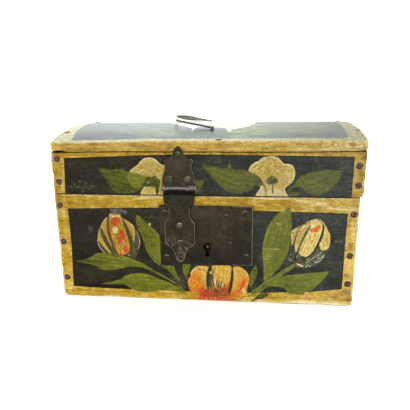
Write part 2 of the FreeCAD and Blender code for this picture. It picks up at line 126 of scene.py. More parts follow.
LEAF = {
    "L1": (0.40, [(-101.2, 136.9), (-97.8, 138.0), (-94.6, 137.4), (-89.2, 137.0), (-84.2, 137.2), (-83.0, 139.9), (-82.4, 137.0), (-79.4, 136.7), (-76.5, 138.9), (-75.1, 136.2), (-73.0, 135.0), (-69.8, 134.7), (-64.4, 133.6), (-58.1, 131.6), (-53.4, 129.5), (-51.8, 127.9), (-53.6, 123.5), (-57.6, 119.1), (-61.1, 116.4), (-65.5, 114.1), (-72.2, 112.9), (-79.9, 112.8), (-85.3, 113.5), (-89.0, 116.6), (-91.4, 120.4), (-93.9, 124.7), (-96.3, 129.6), (-99.2, 133.9)]),
    "L5": (0.55, [(-9.3, 127.2), (-1.9, 126.7), (2.3, 127.3), (2.8, 126.3), (1.7, 122.0), (0.0, 118.8), (-3.2, 115.5), (-5.3, 114.2), (-9.6, 113.2)]),
    "L3": (0.46, [(0.9, 142.9), (5.5, 142.0), (11.0, 140.9), (16.4, 139.3), (17.0, 141.5), (17.7, 139.0), (24.6, 138.8), (25.8, 141.0), (27.1, 145.4), (28.4, 141.0), (29.3, 138.3), (36.0, 137.2), (43.6, 136.5), (47.9, 135.1), (52.2, 133.0), (56.0, 129.7), (58.3, 125.8), (58.7, 122.5), (55.7, 121.4), (52.4, 121.9), (49.7, 120.2), (48.1, 117.3), (44.9, 115.4), (40.5, 114.2), (35.0, 113.8), (29.5, 114.5), (25.1, 115.9), (20.7, 118.7), (16.9, 122.6), (13.0, 126.5), (8.7, 130.4), (4.9, 134.2), (2.2, 138.1)]),
    "L4": (0.46, [(81.1, 115.5), (82.1, 117.8), (84.7, 120.6), (87.8, 123.9), (89.2, 127.3), (91.7, 130.6), (95.8, 133.3), (101.0, 135.0), (107.2, 136.1), (113.4, 137.3), (116.5, 138.2), (121.7, 137.6), (126.9, 137.2), (130.5, 136.5), (129.8, 132.0), (129.0, 127.7), (126.6, 124.4), (122.7, 120.5), (118.7, 116.6), (113.6, 114.3), (108.4, 113.1), (103.0, 114.1), (98.7, 116.3), (96.4, 119.1), (94.2, 121.3), (91.0, 121.2), (87.9, 120.1), (84.8, 118.4), (83.2, 116.1)]),
    "L4b": (0.40, [(82.3, 112.7), (84.9, 115.0), (88.0, 116.7), (91.2, 116.6), (93.4, 115.1), (91.9, 112.9), (88.2, 111.5), (83.9, 111.4)]),
    "A": (0.55, [(-65.7, 90.7), (-64.1, 90.7), (-61.4, 88.1), (-57.2, 84.3), (-54.1, 80.4), (-49.8, 77.0), (-46.1, 73.7), (-43.0, 69.2), (-42.6, 58.2), (-42.7, 47.6), (-43.5, 38.1), (-46.5, 38.6), (-50.3, 41.5), (-53.5, 46.1), (-57.1, 53.1), (-60.0, 62.4), (-61.8, 70.4), (-64.4, 75.0), (-66.3, 80.7), (-66.9, 86.3)]),
    "B": (0.52, [(-134.1, 39.4), (-128.7, 40.2), (-120.3, 42.8), (-115.4, 44.8), (-111.7, 47.9), (-105.8, 49.3), (-98.9, 49.5), (-92.0, 48.7), (-85.2, 47.5), (-78.5, 45.6), (-71.8, 43.2), (-65.1, 40.4), (-59.6, 37.6), (-54.0, 34.2), (-47.4, 29.6), (-40.8, 26.2), (-34.1, 22.2), (-27.4, 18.2), (-20.8, 13.0), (-18.6, 10.6), (-20.3, 10.5), (-26.4, 15.8), (-34.2, 20.4), (-40.8, 24.4), (-49.7, 28.9), (-56.4, 32.3), (-62.0, 34.5), (-67.7, 35.1), (-74.5, 35.3), (-81.5, 33.8), (-88.6, 31.8), (-95.6, 30.6), (-102.6, 30.3), (-107.2, 31.4), (-111.7, 34.0), (-115.0, 35.7), (-119.6, 36.8), (-126.6, 37.6)]),
    "C": (0.60, [(-107.9, 14.5), (-101.3, 16.0), (-94.2, 17.9), (-89.4, 19.5), (-85.8, 20.9), (-82.1, 24.1), (-76.2, 26.4), (-69.2, 27.8), (-62.3, 28.1), (-56.7, 26.8), (-51.1, 24.6), (-45.5, 22.4), (-39.9, 20.2), (-34.2, 17.9), (-27.5, 14.5), (-22.0, 11.1), (-18.1, 9.4), (-19.8, 8.1), (-24.3, 8.5), (-30.0, 9.5), (-36.8, 9.9), (-44.8, 9.5), (-50.7, 7.7), (-57.6, 7.2), (-64.6, 6.9), (-70.3, 7.6), (-74.9, 9.6), (-79.3, 13.1), (-83.9, 14.8), (-89.7, 14.8), (-97.9, 14.5)]),
    "D": (0.50, [(-43.1, 37.5), (-38.1, 37.3), (-30.2, 37.1), (-28.6, 33.8), (-27.1, 29.1), (-25.6, 24.3), (-22.8, 20.8), (-26.2, 22.5), (-30.6, 26.6), (-34.9, 30.6), (-39.3, 34.1)]),
    "E": (0.50, [(-20.1, 40.7), (-12.9, 40.9), (-13.5, 33.1), (-15.3, 28.3), (-17.1, 23.4), (-18.7, 27.0), (-20.3, 30.5)]),
    "R1": (0.68, [(84.8, 101.7), (85.5, 99.2), (86.6, 90.0), (86.9, 79.6), (86.8, 69.0), (85.8, 60.7), (83.8, 53.4), (80.7, 46.1), (77.5, 39.8), (73.2, 34.8), (68.8, 29.6), (65.4, 26.8), (63.2, 24.4), (61.5, 25.0), (61.3, 31.9), (60.8, 41.7), (59.8, 52.7), (59.6, 59.9), (61.1, 69.6), (63.1, 77.9), (66.3, 85.0), (69.9, 91.4), (74.7, 95.5), (79.5, 98.2), (82.7, 100.3)]),
    "Rs": (0.62, [(90.3, 43.3), (92.6, 41.6), (88.8, 37.8), (84.5, 34.5), (80.1, 30.7), (75.7, 26.2), (70.1, 21.6), (64.5, 16.9), (58.8, 12.3), (53.1, 8.2), (48.5, 8.7), (50.2, 12.6), (55.3, 16.6), (62.1, 23.2), (67.7, 27.1), (73.3, 31.1), (79.9, 36.2), (86.5, 40.8)]),
    "R2": (0.62, [(125.0, 36.3), (117.9, 35.6), (109.0, 34.5), (100.2, 33.0), (92.4, 32.0), (84.6, 30.8), (77.9, 28.1), (72.3, 24.8), (69.0, 20.9), (66.8, 18.5), (73.6, 18.8), (80.5, 17.6), (84.6, 14.0), (87.5, 10.9), (95.5, 10.4), (101.2, 10.8), (103.3, 13.5), (107.8, 14.3), (111.0, 17.5), (115.2, 22.7), (119.4, 27.2), (122.5, 31.6)]),
    "R3": (0.50, [(49.8, 36.4), (53.2, 40.3), (54.7, 36.6), (54.8, 31.6), (52.9, 25.3), (50.6, 20.2), (47.8, 16.9), (46.9, 22.6), (47.6, 30.1)]),
    "L2": (0.70, [(-72.3, 132.0), (-71.4, 134.1), (-69.8, 134.7), (-64.4, 133.6), (-58.1, 131.6), (-53.3, 130.0), (-50.6, 130.5), (-49.7, 126.8), (-52.0, 123.5), (-56.5, 121.3), (-60.9, 119.1), (-65.3, 118.5), (-69.5, 120.6), (-72.0, 125.5)]),
    "L2b": (0.36, [(-53.4, 128.9), (-50.6, 130.2), (-48.5, 129.5), (-46.8, 130.9), (-44.7, 130.6), (-43.2, 128.5), (-40.6, 126.9), (-40.2, 124.2), (-41.4, 119.3), (-42.2, 115.0), (-43.4, 111.5), (-45.0, 111.4), (-45.4, 116.0), (-45.8, 118.2), (-47.9, 119.8), (-52.2, 119.7), (-56.5, 119.7), (-58.6, 121.3), (-56.2, 125.7)]),
    "G1": (0.34, [(61.8, 127.0), (63.0, 129.2), (64.6, 129.8), (65.3, 131.7), (67.2, 132.3), (68.9, 131.2), (70.0, 130.2), (71.8, 128.7), (72.7, 126.5), (71.5, 124.3), (68.5, 123.7), (67.9, 122.6), (66.4, 123.7), (63.7, 123.5), (62.1, 124.8)]),
    "R4": (0.34, [(56.6, 9.6), (60.0, 11.7), (67.0, 10.1), (64.7, 6.1), (60.2, 4.0), (54.4, 2.5), (48.6, 0.3), (52.0, 4.3)]),
}
STEM = {
    "L3s": (0.10, 0.55, [(55.5, 129.1), (58.8, 124.7), (61.1, 119.2), (62.2, 110.0)]),
    "G1s": (0.08, 0.6, [(67.9, 123.7), (67.9, 114.8)]),
    "C1": (0.60, 0.4, [(-46.9, 28.5), (-30.0, 19.4), (-23.0, 12.6)]),
}
HULL = {
    "T1": [(-93.2, 92.4), (-87.7, 91.7), (-82.6, 91.4), (-79.6, 87.2), (-74.2, 83.9), (-70.1, 79.9), (-68.2, 76.1), (-65.9, 73.7), (-63.5, 69.0), (-63.0, 62.9), (-64.6, 56.0), (-67.2, 48.9), (-69.9, 43.7), (-75.8, 46.1), (-86.9, 48.1), (-95.2, 48.8), (-101.2, 49.3), (-105.8, 54.8), (-108.4, 61.0), (-107.9, 67.2), (-104.7, 74.9), (-103.2, 79.5), (-100.1, 84.1), (-96.5, 87.8)],
    "T3": [(86.9, 78.2), (92.9, 81.7), (100.2, 85.3), (102.8, 87.8), (109.3, 90.2), (113.1, 89.8), (116.7, 86.3), (120.3, 81.3), (123.1, 76.0), (124.3, 71.3), (124.0, 65.1), (122.8, 59.2), (120.4, 53.9), (116.3, 47.4), (109.7, 42.7), (104.3, 40.0), (100.5, 39.2), (96.0, 39.8), (92.4, 41.9), (88.5, 45.4), (84.9, 49.1), (85.8, 53.6), (86.9, 60.4), (87.1, 69.3)],
    "T2": [(-12.5, 26.1), (-12.9, 30.1), (-10.5, 34.1), (-7.2, 37.1), (-3.5, 38.2), (6.0, 38.6), (27.2, 39.7), (35.3, 39.0), (39.8, 37.3), (43.3, 34.5), (46.1, 30.7), (46.9, 25.4), (45.8, 19.4), (45.0, 9.5), (40.9, 5.3), (36.4, -1.4), (-0.5, -3.0), (-10.7, 3.2), (-14.2, 11.1), (-15.9, 19.1)],
}
PETAL = {
    "T2l": [(-12.5, 26.1), (-12.9, 30.1), (-10.5, 34.1), (-7.2, 37.1), (-3.5, 38.2), (1.9, 38.2), (6.0, 37.6), (4.6, 32.7), (3.6, 26.7), (3.3, 20.8), (4.3, 13.9), (6.1, 7.9), (6.9, -2.2), (-0.5, -3.0), (-6.1, -1.7), (-10.7, 3.2), (-14.2, 11.1), (-15.9, 19.1), (-14.8, 24.1)],
    "T2c": [(9.2, 38.7), (14.6, 39.3), (21.8, 39.6), (27.2, 39.3), (29.0, 37.4), (28.6, 30.6), (27.7, 23.7), (26.3, 16.7), (25.9, 8.7), (28.2, -1.8), (6.9, -2.7), (8.0, 8.0), (9.9, 23.0), (9.1, 29.9)],
    "T2r": [(30.8, 37.9), (35.3, 39.0), (39.8, 37.3), (43.3, 34.5), (46.1, 30.7), (46.9, 25.4), (45.8, 19.4), (44.5, 13.5), (45.0, 9.5), (40.9, 5.3), (36.4, -1.4), (28.2, -1.8), (27.7, 9.8), (30.0, 16.9), (30.8, 24.8), (31.3, 30.7)],
    "T1c": [(-92.7, 91.6), (-87.8, 91.3), (-82.8, 91.0), (-81.2, 86.0), (-79.2, 79.3), (-77.2, 71.0), (-75.5, 63.4), (-74.6, 56.5), (-76.0, 51.8), (-79.8, 48.4), (-85.8, 48.2), (-88.7, 52.2), (-91.0, 58.3), (-92.8, 65.2), (-94.1, 72.1), (-94.5, 79.0), (-94.4, 85.8)],
    "T1l": [(-96.5, 87.5), (-100.1, 83.9), (-103.0, 79.2), (-102.7, 75.4), (-100.4, 70.4), (-97.5, 64.4), (-94.9, 58.2), (-93.1, 54.9), (-93.7, 61.4), (-95.5, 68.3), (-96.3, 75.1), (-96.0, 82.0)],
    "T1l2": [(-105.1, 74.5), (-107.1, 68.0), (-107.1, 63.3), (-104.2, 58.3), (-100.3, 53.4), (-96.4, 49.7), (-94.3, 49.3), (-98.4, 55.2), (-101.3, 61.2), (-103.5, 67.3)],
    "T1r": [(-81.2, 87.4), (-77.1, 85.1), (-72.9, 82.6), (-69.6, 78.8), (-68.5, 75.4), (-69.1, 68.9), (-69.8, 62.6), (-71.1, 65.0), (-72.6, 71.1), (-74.8, 77.1), (-77.4, 82.4)],
    "T3l": [(87.0, 77.4), (92.9, 80.8), (94.1, 79.8), (92.3, 73.8), (90.5, 67.9), (89.1, 62.7), (88.1, 61.8), (87.1, 69.3)],
    "T3m": [(95.2, 81.1), (100.2, 84.3), (103.9, 86.6), (103.8, 82.8), (100.7, 76.9), (97.9, 71.0), (95.5, 64.3), (93.3, 57.6), (91.9, 55.9), (90.6, 62.0), (91.4, 67.2), (93.6, 74.5)],
    "T3c": [(104.7, 87.2), (109.4, 89.3), (113.6, 88.1), (116.1, 84.5), (116.1, 78.7), (114.4, 72.1), (112.4, 66.2), (109.3, 59.5), (105.8, 54.1), (102.4, 51.3), (98.6, 52.0), (96.0, 53.0), (95.2, 56.2), (97.3, 62.9), (99.4, 68.8), (102.5, 75.5), (104.6, 80.6)],
    "T3r": [(116.9, 85.7), (120.3, 80.6), (122.6, 75.3), (123.4, 70.9), (123.1, 64.3), (121.8, 60.5), (118.4, 58.2), (115.5, 59.6), (114.3, 63.4), (116.0, 68.5), (117.7, 75.1), (117.6, 80.9)],
}
ORANGE = {
    "T1o": [(-93.9, 75.9), (-92.0, 73.1), (-90.2, 69.2), (-89.7, 65.2), (-91.8, 65.1), (-93.4, 69.8), (-94.3, 73.6)],
}
WHITE = {
    "T2w1": [(6.9, 32.1), (7.8, 32.7), (8.9, 31.8), (8.7, 30.4), (7.7, 29.7), (6.9, 30.5)],
    "T1dot": [(-91.6, 73.7), (-90.7, 76.5), (-88.5, 77.7), (-86.3, 76.6), (-85.8, 74.2), (-87.3, 71.5), (-89.5, 71.2), (-91.2, 72.1)],
}
RED = {
    "T1a": [(-91.5, 87.3), (-86.5, 88.7), (-83.2, 87.3), (-82.9, 83.4), (-85.1, 80.2), (-88.6, 78.6), (-91.9, 79.2), (-92.9, 82.8)],
    "T1b": [(-84.1, 74.6), (-80.7, 75.1), (-79.0, 71.7), (-78.5, 67.1), (-80.6, 64.0), (-83.0, 63.0), (-84.7, 59.9), (-86.6, 59.5), (-86.8, 63.9), (-84.9, 67.8), (-84.8, 71.6)],
    "T1d": [(-81.6, 56.3), (-78.0, 58.5), (-75.8, 55.7), (-76.4, 52.0), (-79.3, 49.9), (-82.0, 50.6)],
    "T1e": [(-85.4, 51.6), (-81.5, 48.5), (-83.5, 46.7), (-85.6, 48.2)],
    "T3a": [(104.0, 79.5), (106.1, 80.4), (108.8, 81.2), (110.7, 83.3), (113.1, 84.5), (114.1, 82.0), (113.4, 78.9), (110.7, 76.6), (107.3, 76.6), (104.8, 77.7)],
}
DARK = {
    "T2d1": [(5.9, 36.7), (9.3, 37.8), (8.8, 34.2), (6.5, 28.8), (5.3, 22.4), (5.2, 15.6), (3.6, 16.4), (3.2, 23.9), (4.1, 31.0)],
    "T2d2": [(29.9, 36.4), (30.8, 34.3), (30.8, 28.1), (30.3, 21.8), (29.9, 17.0), (28.3, 10.2), (26.3, 8.9), (26.9, 15.3), (27.9, 21.7), (28.6, 28.0), (29.2, 33.5)],
    # painted shade: a dark patch behind and under the hasp barrel
    "hasp": [(-36.5, 112.2), (-7.0, 112.2), (-7.0, 121.5), (-36.5, 121.5)],
}
# Brush strokes of the tulips: half width and path.
STROKES = {
    "T1": {
        "white": [
            (0.36, [(-108.1, 62.5), (-106.9, 56.7), (-104.4, 52.5), (-101.6, 49.6)]),
            (0.28, [(-96.5, 87.6), (-100.0, 84.0), (-102.9, 79.2)]),
            (0.26, [(-102.8, 78.8), (-105.2, 74.2), (-107.1, 68.0), (-107.5, 64.1)]),
            (0.32, [(-101.9, 60.4), (-98.9, 55.4), (-96.2, 51.0)]),
            (0.28, [(-96.4, 63.6), (-94.3, 58.9)]),
            (0.32, [(-80.3, 86.8), (-75.7, 83.9), (-71.3, 81.0), (-68.9, 76.9)]),
            (0.50, [(-71.4, 79.9), (-70.7, 79.0)]),
            (0.28, [(-68.6, 75.0), (-69.2, 68.9), (-70.1, 61.8)]),
            (0.28, [(-66.5, 73.9), (-65.1, 69.0), (-64.0, 63.7), (-64.4, 59.1), (-66.1, 55.0)]),
            (0.36, [(-80.7, 62.9), (-79.7, 59.6)]),
            (0.32, [(-81.7, 52.4), (-82.8, 48.9)]),
            (0.28, [(-84.8, 58.5), (-85.4, 55.2)]),
            (0.42, [(-92.6, 91.0), (-90.1, 89.5)]),
            (0.60, [(-90.4, 88.5), (-87.4, 89.4), (-83.6, 88.7)]),
            (0.42, [(-85.5, 89.8), (-83.0, 89.6)]),
            (0.30, [(-93.7, 91.0), (-92.8, 88.4)]),
            (0.30, [(-76.4, 48.6), (-75.6, 46.7)]),
        ],
        "dark": [
            (0.70, [(-95.1, 87.3), (-96.3, 81.2), (-96.7, 75.9), (-96.2, 69.8), (-95.1, 64.4), (-93.3, 58.3)]),
            (1.30, [(-79.7, 84.9), (-77.5, 78.6), (-75.4, 71.0), (-74.0, 63.4), (-73.0, 55.7), (-72.6, 48.7)]),
            (0.95, [(-103.8, 75.7), (-101.2, 69.7), (-98.4, 62.8), (-95.1, 55.9), (-92.4, 51.3)]),
            (0.50, [(-106.6, 61.8), (-103.7, 57.2), (-100.3, 51.7)]),
            (0.50, [(-88.0, 68.4), (-87.7, 64.5)]),
            (0.42, [(-79.0, 64.1), (-77.8, 60.1)]),
            (0.36, [(-90.6, 63.0), (-89.4, 56.8)]),
            (0.30, [(-89.5, 85.9), (-87.4, 85.5)]),
            (0.30, [(-90.6, 81.7), (-87.0, 80.8)]),
        ],
        "orange": [
            (0.80, [(-91.5, 66.7), (-90.1, 59.9), (-87.9, 53.6)]),
            (1.10, [(-92.9, 77.7), (-92.4, 72.2), (-91.6, 66.4)]),
            (0.60, [(-78.1, 62.9), (-75.9, 57.1)]),
            (0.50, [(-84.2, 61.6), (-83.0, 56.2)]),
        ],
        "red": [
            (0.55, [(-87.2, 69.9), (-85.7, 61.7), (-83.9, 54.1)]),
            (0.50, [(-81.6, 62.5), (-79.8, 56.8)]),
            (0.40, [(-88.4, 79.0), (-87.6, 76.8)]),
            (0.50, [(-93.6, 79.9), (-93.0, 74.1)]),
            (0.45, [(-82.6, 74.4), (-81.0, 70.7)]),
            (0.40, [(-86.0, 56.6), (-83.1, 48.4)]),
        ],
    },
    "T2": {
        "white": [
            (0.40, [(11.8, 25.6), (12.4, 19.5)]),
            (0.34, [(13.0, 23.3), (13.3, 16.2)]),
            (0.34, [(15.4, 24.4), (15.3, 17.2)]),
            (0.34, [(18.4, 22.7), (17.0, 17.3)]),
            (0.34, [(20.6, 20.5), (19.0, 15.6)]),
            (0.50, [(17.6, 29.2), (19.6, 26.7)]),
            (0.50, [(32.6, 32.0), (33.3, 30.0)]),
            (0.38, [(1.3, 30.9), (1.9, 29.7)]),
            (0.42, [(41.5, 14.3), (41.0, 11.9), (42.3, 10.2)]),
            (0.62, [(40.0, 11.7), (40.9, 14.2), (42.5, 15.5)]),
            (0.50, [(41.7, 10.6), (43.9, 12.5)]),
            (0.36, [(43.5, 30.1), (46.1, 28.6)]),
            (0.30, [(-11.7, 30.5), (-9.3, 33.9), (-6.4, 35.8)]),
            (0.40, [(12.5, 3.5), (12.7, -0.4)]),
            (0.34, [(6.5, 15.3), (6.3, 9.7)]),
            (0.50, [(38.6, 1.4), (43.8, 1.9)]),
            (0.40, [(-9.2, 0.9), (-4.8, 0.3)]),
            (0.30, [(36.3, 37.2), (41.3, 34.7), (45.3, 30.2)]),
            (0.30, [(-1.6, 37.1), (3.9, 36.5)]),
        ],
        "dark": [
            (0.66, [(10.7, 34.8), (9.9, 25.7), (11.0, 17.1)]),
            (0.60, [(14.1, 23.4), (14.6, 15.6)]),
            (0.60, [(16.5, 22.7), (16.1, 15.5)]),
            (0.60, [(19.2, 22.0), (17.5, 14.0)]),
            (0.60, [(22.4, 18.5), (21.2, 15.7)]),
            (0.40, [(-5.5, 36.0), (-2.9, 34.7)]),
            (0.40, [(-1.2, 33.7), (2.7, 33.1)]),
            (0.34, [(14.2, 17.2), (14.9, 12.3), (15.4, 8.6)]),
            (0.26, [(9.1, 17.0), (10.1, 13.9)]),
            (0.30, [(25.8, 14.0), (26.1, 7.0)]),
            (0.26, [(21.9, 16.9), (21.1, 13.8)]),
            (0.50, [(11.0, 17.1), (13.8, 10.6)]),
            (0.50, [(14.6, 11.8), (16.0, 8.3)]),
            (0.34, [(30.6, 24.9), (31.8, 23.4)]),
            (0.34, [(-4.9, 35.8), (-2.7, 33.9), (0.9, 33.3)]),
            (0.50, [(-16.2, 18.4), (-14.9, 13.6), (-12.8, 8.1)]),
        ],
    },
    "T3": {
        "white": [
            (0.42, [(118.3, 66.0), (119.8, 64.8)]),
            (0.36, [(121.1, 62.4), (122.1, 63.9)]),
            (0.40, [(118.0, 62.3), (119.4, 60.9)]),
            (0.30, [(108.1, 76.5), (103.9, 64.4), (100.8, 54.5)]),
            (0.26, [(102.0, 44.7), (108.5, 49.8), (113.9, 54.9)]),
            (0.55, [(95.3, 43.0), (99.0, 41.7)]),
            (0.38, [(100.8, 86.3), (105.4, 88.5), (110.0, 89.9), (113.4, 89.4), (116.7, 86.3), (119.9, 81.5), (122.6, 76.3), (123.9, 71.7)]),
            (0.26, [(87.3, 77.9), (92.9, 81.4), (100.2, 85.0)]),
            (0.32, [(123.6, 70.9), (123.6, 65.1), (122.5, 59.9)]),
            (0.50, [(114.6, 66.3), (116.4, 63.4), (115.5, 61.2)]),
            (0.50, [(119.5, 61.3), (121.2, 59.7)]),
            (0.30, [(120.0, 53.9), (116.1, 50.8), (112.8, 49.2)]),
            (0.36, [(119.1, 52.4), (115.6, 47.4), (110.9, 45.0)]),
            (0.62, [(93.5, 43.7), (96.6, 41.9), (99.4, 40.6)]),
            (0.46, [(101.9, 40.2), (104.9, 42.6)]),
            (0.26, [(103.3, 75.5), (99.6, 68.8), (96.8, 62.1), (95.0, 56.1)]),
            (0.26, [(104.5, 79.9), (101.4, 73.3)]),
            (0.24, [(92.8, 50.1), (94.8, 53.2)]),
            (0.28, [(84.9, 48.7), (87.8, 46.2)]),
            (0.26, [(102.6, 47.4), (105.9, 50.5)]),
            (0.26, [(117.1, 56.8), (113.9, 53.0), (112.0, 50.7)]),
            (0.26, [(95.0, 80.4), (92.6, 73.1), (91.3, 66.4)]),
        ],
        "dark": [
            (0.30, [(117.1, 67.1), (119.0, 64.2)]),
            (0.30, [(119.8, 69.0), (121.6, 66.0)]),
            (0.26, [(116.2, 63.5), (118.0, 61.4)]),
            (0.28, [(121.2, 63.6), (122.4, 65.5)]),
            (0.22, [(110.1, 75.3), (105.6, 63.2), (102.2, 53.3)]),
            (0.20, [(113.1, 74.8), (109.5, 64.5), (105.2, 54.6)]),
            (0.22, [(105.7, 72.8), (101.8, 61.9), (99.3, 54.5)]),
            (0.24, [(100.8, 82.9), (96.2, 75.0), (93.2, 66.5)]),
            (0.62, [(94.7, 79.9), (92.2, 73.8), (90.4, 67.9), (88.6, 61.2), (88.1, 55.9)]),
            (0.30, [(104.0, 85.6), (100.5, 77.6), (97.4, 71.0), (94.6, 64.3), (92.9, 57.6)]),
            (0.26, [(101.6, 68.9), (98.8, 62.9), (96.3, 56.2)]),
            (0.92, [(117.0, 83.8), (116.7, 77.3), (115.0, 70.7), (113.3, 65.5), (110.9, 58.8), (109.1, 54.3)]),
            (0.32, [(113.9, 61.1), (112.7, 56.7), (110.6, 52.1)]),
            (1.30, [(89.1, 56.0), (90.3, 51.5), (92.2, 47.1)]),
            (0.90, [(100.4, 50.0), (101.9, 46.5), (104.5, 49.3)]),
            (0.42, [(98.3, 51.6), (98.8, 47.1)]),
            (0.70, [(113.8, 56.3), (111.4, 49.8), (107.4, 46.0)]),
            (0.26, [(108.2, 73.4), (108.9, 72.9)]),
            (0.26, [(107.2, 66.1), (107.7, 65.4)]),
            (0.26, [(105.3, 62.4), (105.7, 61.6)]),
            (0.30, [(118.1, 64.9), (119.5, 63.5)]),
        ],
        "red": [
            (0.30, [(102.6, 74.6), (103.1, 74.2)]),
            (0.95, [(105.2, 79.2), (110.4, 78.7), (113.3, 82.0)]),
        ],
    },
}
# Soft orange and red washes of the middle tulip: x, z, half width, half height, amount.
ORANGE_WASH = [(-12.9, 19.3, 4.6, 7.4, 1.00), (-6.0, 14.8, 6.5, 6.2, 0.85), (-8.8, 25.4, 4.4, 4.6, 0.50), (-2.4, 12.1, 5.2, 4.6, 0.60), (42.9, 24.6, 3.2, 3.0, 0.80), (39.7, 17.8, 3.7, 4.6, 0.90), (33.6, 9.2, 6.6, 3.3, 0.90), (29.9, 6.6, 4.4, 3.0, 0.80), (-3.6, 24.4, 2.8, 4.6, 0.30), (26.3, 24.0, 2.5, 5.4, 0.35), (-12.1, 7.3, 3.6, 3.9, 0.40), (-8.0, 30.0, 7.0, 6.0, 0.26), (34.0, 20.0, 7.0, 9.0, 0.22), (-8.0, 1.5, 6.0, 2.5, 0.45)]
RED_WASH = [(1.3, 7.9, 4.8, 5.2, 0.68), (1.9, 1.8, 4.2, 3.4, 0.68), (41.1, 21.4, 1.6, 3.9, 0.75), (38.6, 16.6, 1.9, 3.5, 0.75), (36.5, 11.7, 2.9, 2.3, 0.55), (29.2, 8.2, 3.3, 2.3, 0.45), (22.6, 11.9, 4.4, 4.6, 0.85), (26.3, 17.7, 1.6, 3.9, 0.60), (11.6, 9.9, 5.2, 3.4, 0.75), (27.0, 1.7, 7.4, 2.0, 0.85), (16.0, 2.0, 6.6, 2.1, 0.55), (-2.0, 11.8, 2.9, 3.1, 0.45), (13.5, 9.0, 11.5, 3.4, 0.52), (17.0, 1.0, 13.0, 2.6, 0.42), (-0.5, 3.0, 4.0, 4.0, 0.35), (9.0, 2.8, 6.0, 1.6, 0.45), (14.0, 3.2, 8.0, 1.5, 0.5), (-5.5, 1.4, 5.0, 2.4, 0.40)]
HAZE = [(1.50, [(-91.8, 95.7), (-86.6, 94.9), (-81.0, 95.6), (-76.8, 93.5)]), (1.30, [(-90.3, 93.0), (-83.0, 92.4)]), (0.70, [(-80.9, 96.6), (-78.8, 93.9), (-78.6, 91.2)]), (0.45, [(-76.6, 95.1), (-75.9, 93.2)]), (0.60, [(-70.3, 55.8), (-69.6, 49.6)]), (0.80, [(120.0, 55.0), (116.1, 50.1), (110.8, 46.9)]), (0.70, [(117.5, 50.9), (112.3, 45.3), (106.3, 42.1)]), (0.70, [(112.9, 59.6), (111.2, 53.6)]), (1.15, [(8.2, 26.6), (8.8, 17.6)]), (0.50, [(89.1, 56.0), (90.0, 50.0)]), (0.60, [(100.4, 42.1), (108.7, 47.4), (117.8, 55.0)]), (0.50, [(105.6, 40.8), (114.4, 45.7), (119.6, 52.6)]), (0.45, [(108.5, 51.1), (112.8, 54.3), (116.0, 57.4)]), (0.40, [(85.0, 50.1), (86.5, 45.9)]), (0.22, [(-24.8, 25.7), (-21.9, 22.7), (-19.1, 18.6)]), (0.22, [(-27.7, 24.2), (-22.7, 19.2), (-18.0, 13.8)]), (0.20, [(-32.3, 25.1), (-25.9, 20.1), (-20.2, 14.7)])]
FLECK = [(0.95, [(-52.7, 80.7), (-53.0, 81.6)]), (0.30, [(-50.6, 89.6), (-50.2, 90.4)]), (0.30, [(72.0, 84.8), (76.8, 84.3)]), (0.26, [(60.1, 58.3), (75.6, 58.3)]), (0.12, [(128.6, 68.2), (135.2, 68.2)]), (0.30, [(67.8, 129.5), (68.3, 129.5)]), (0.30, [(63.6, 126.4), (64.1, 126.4)]), (0.30, [(64.9, 128.1), (65.4, 128.1)]), (0.30, [(70.9, 124.4), (71.4, 124.4)]), (0.30, [(68.1, 124.2), (68.6, 124.2)]), (0.45, [(-52.6, 123.7), (-51.7, 124.5)])]
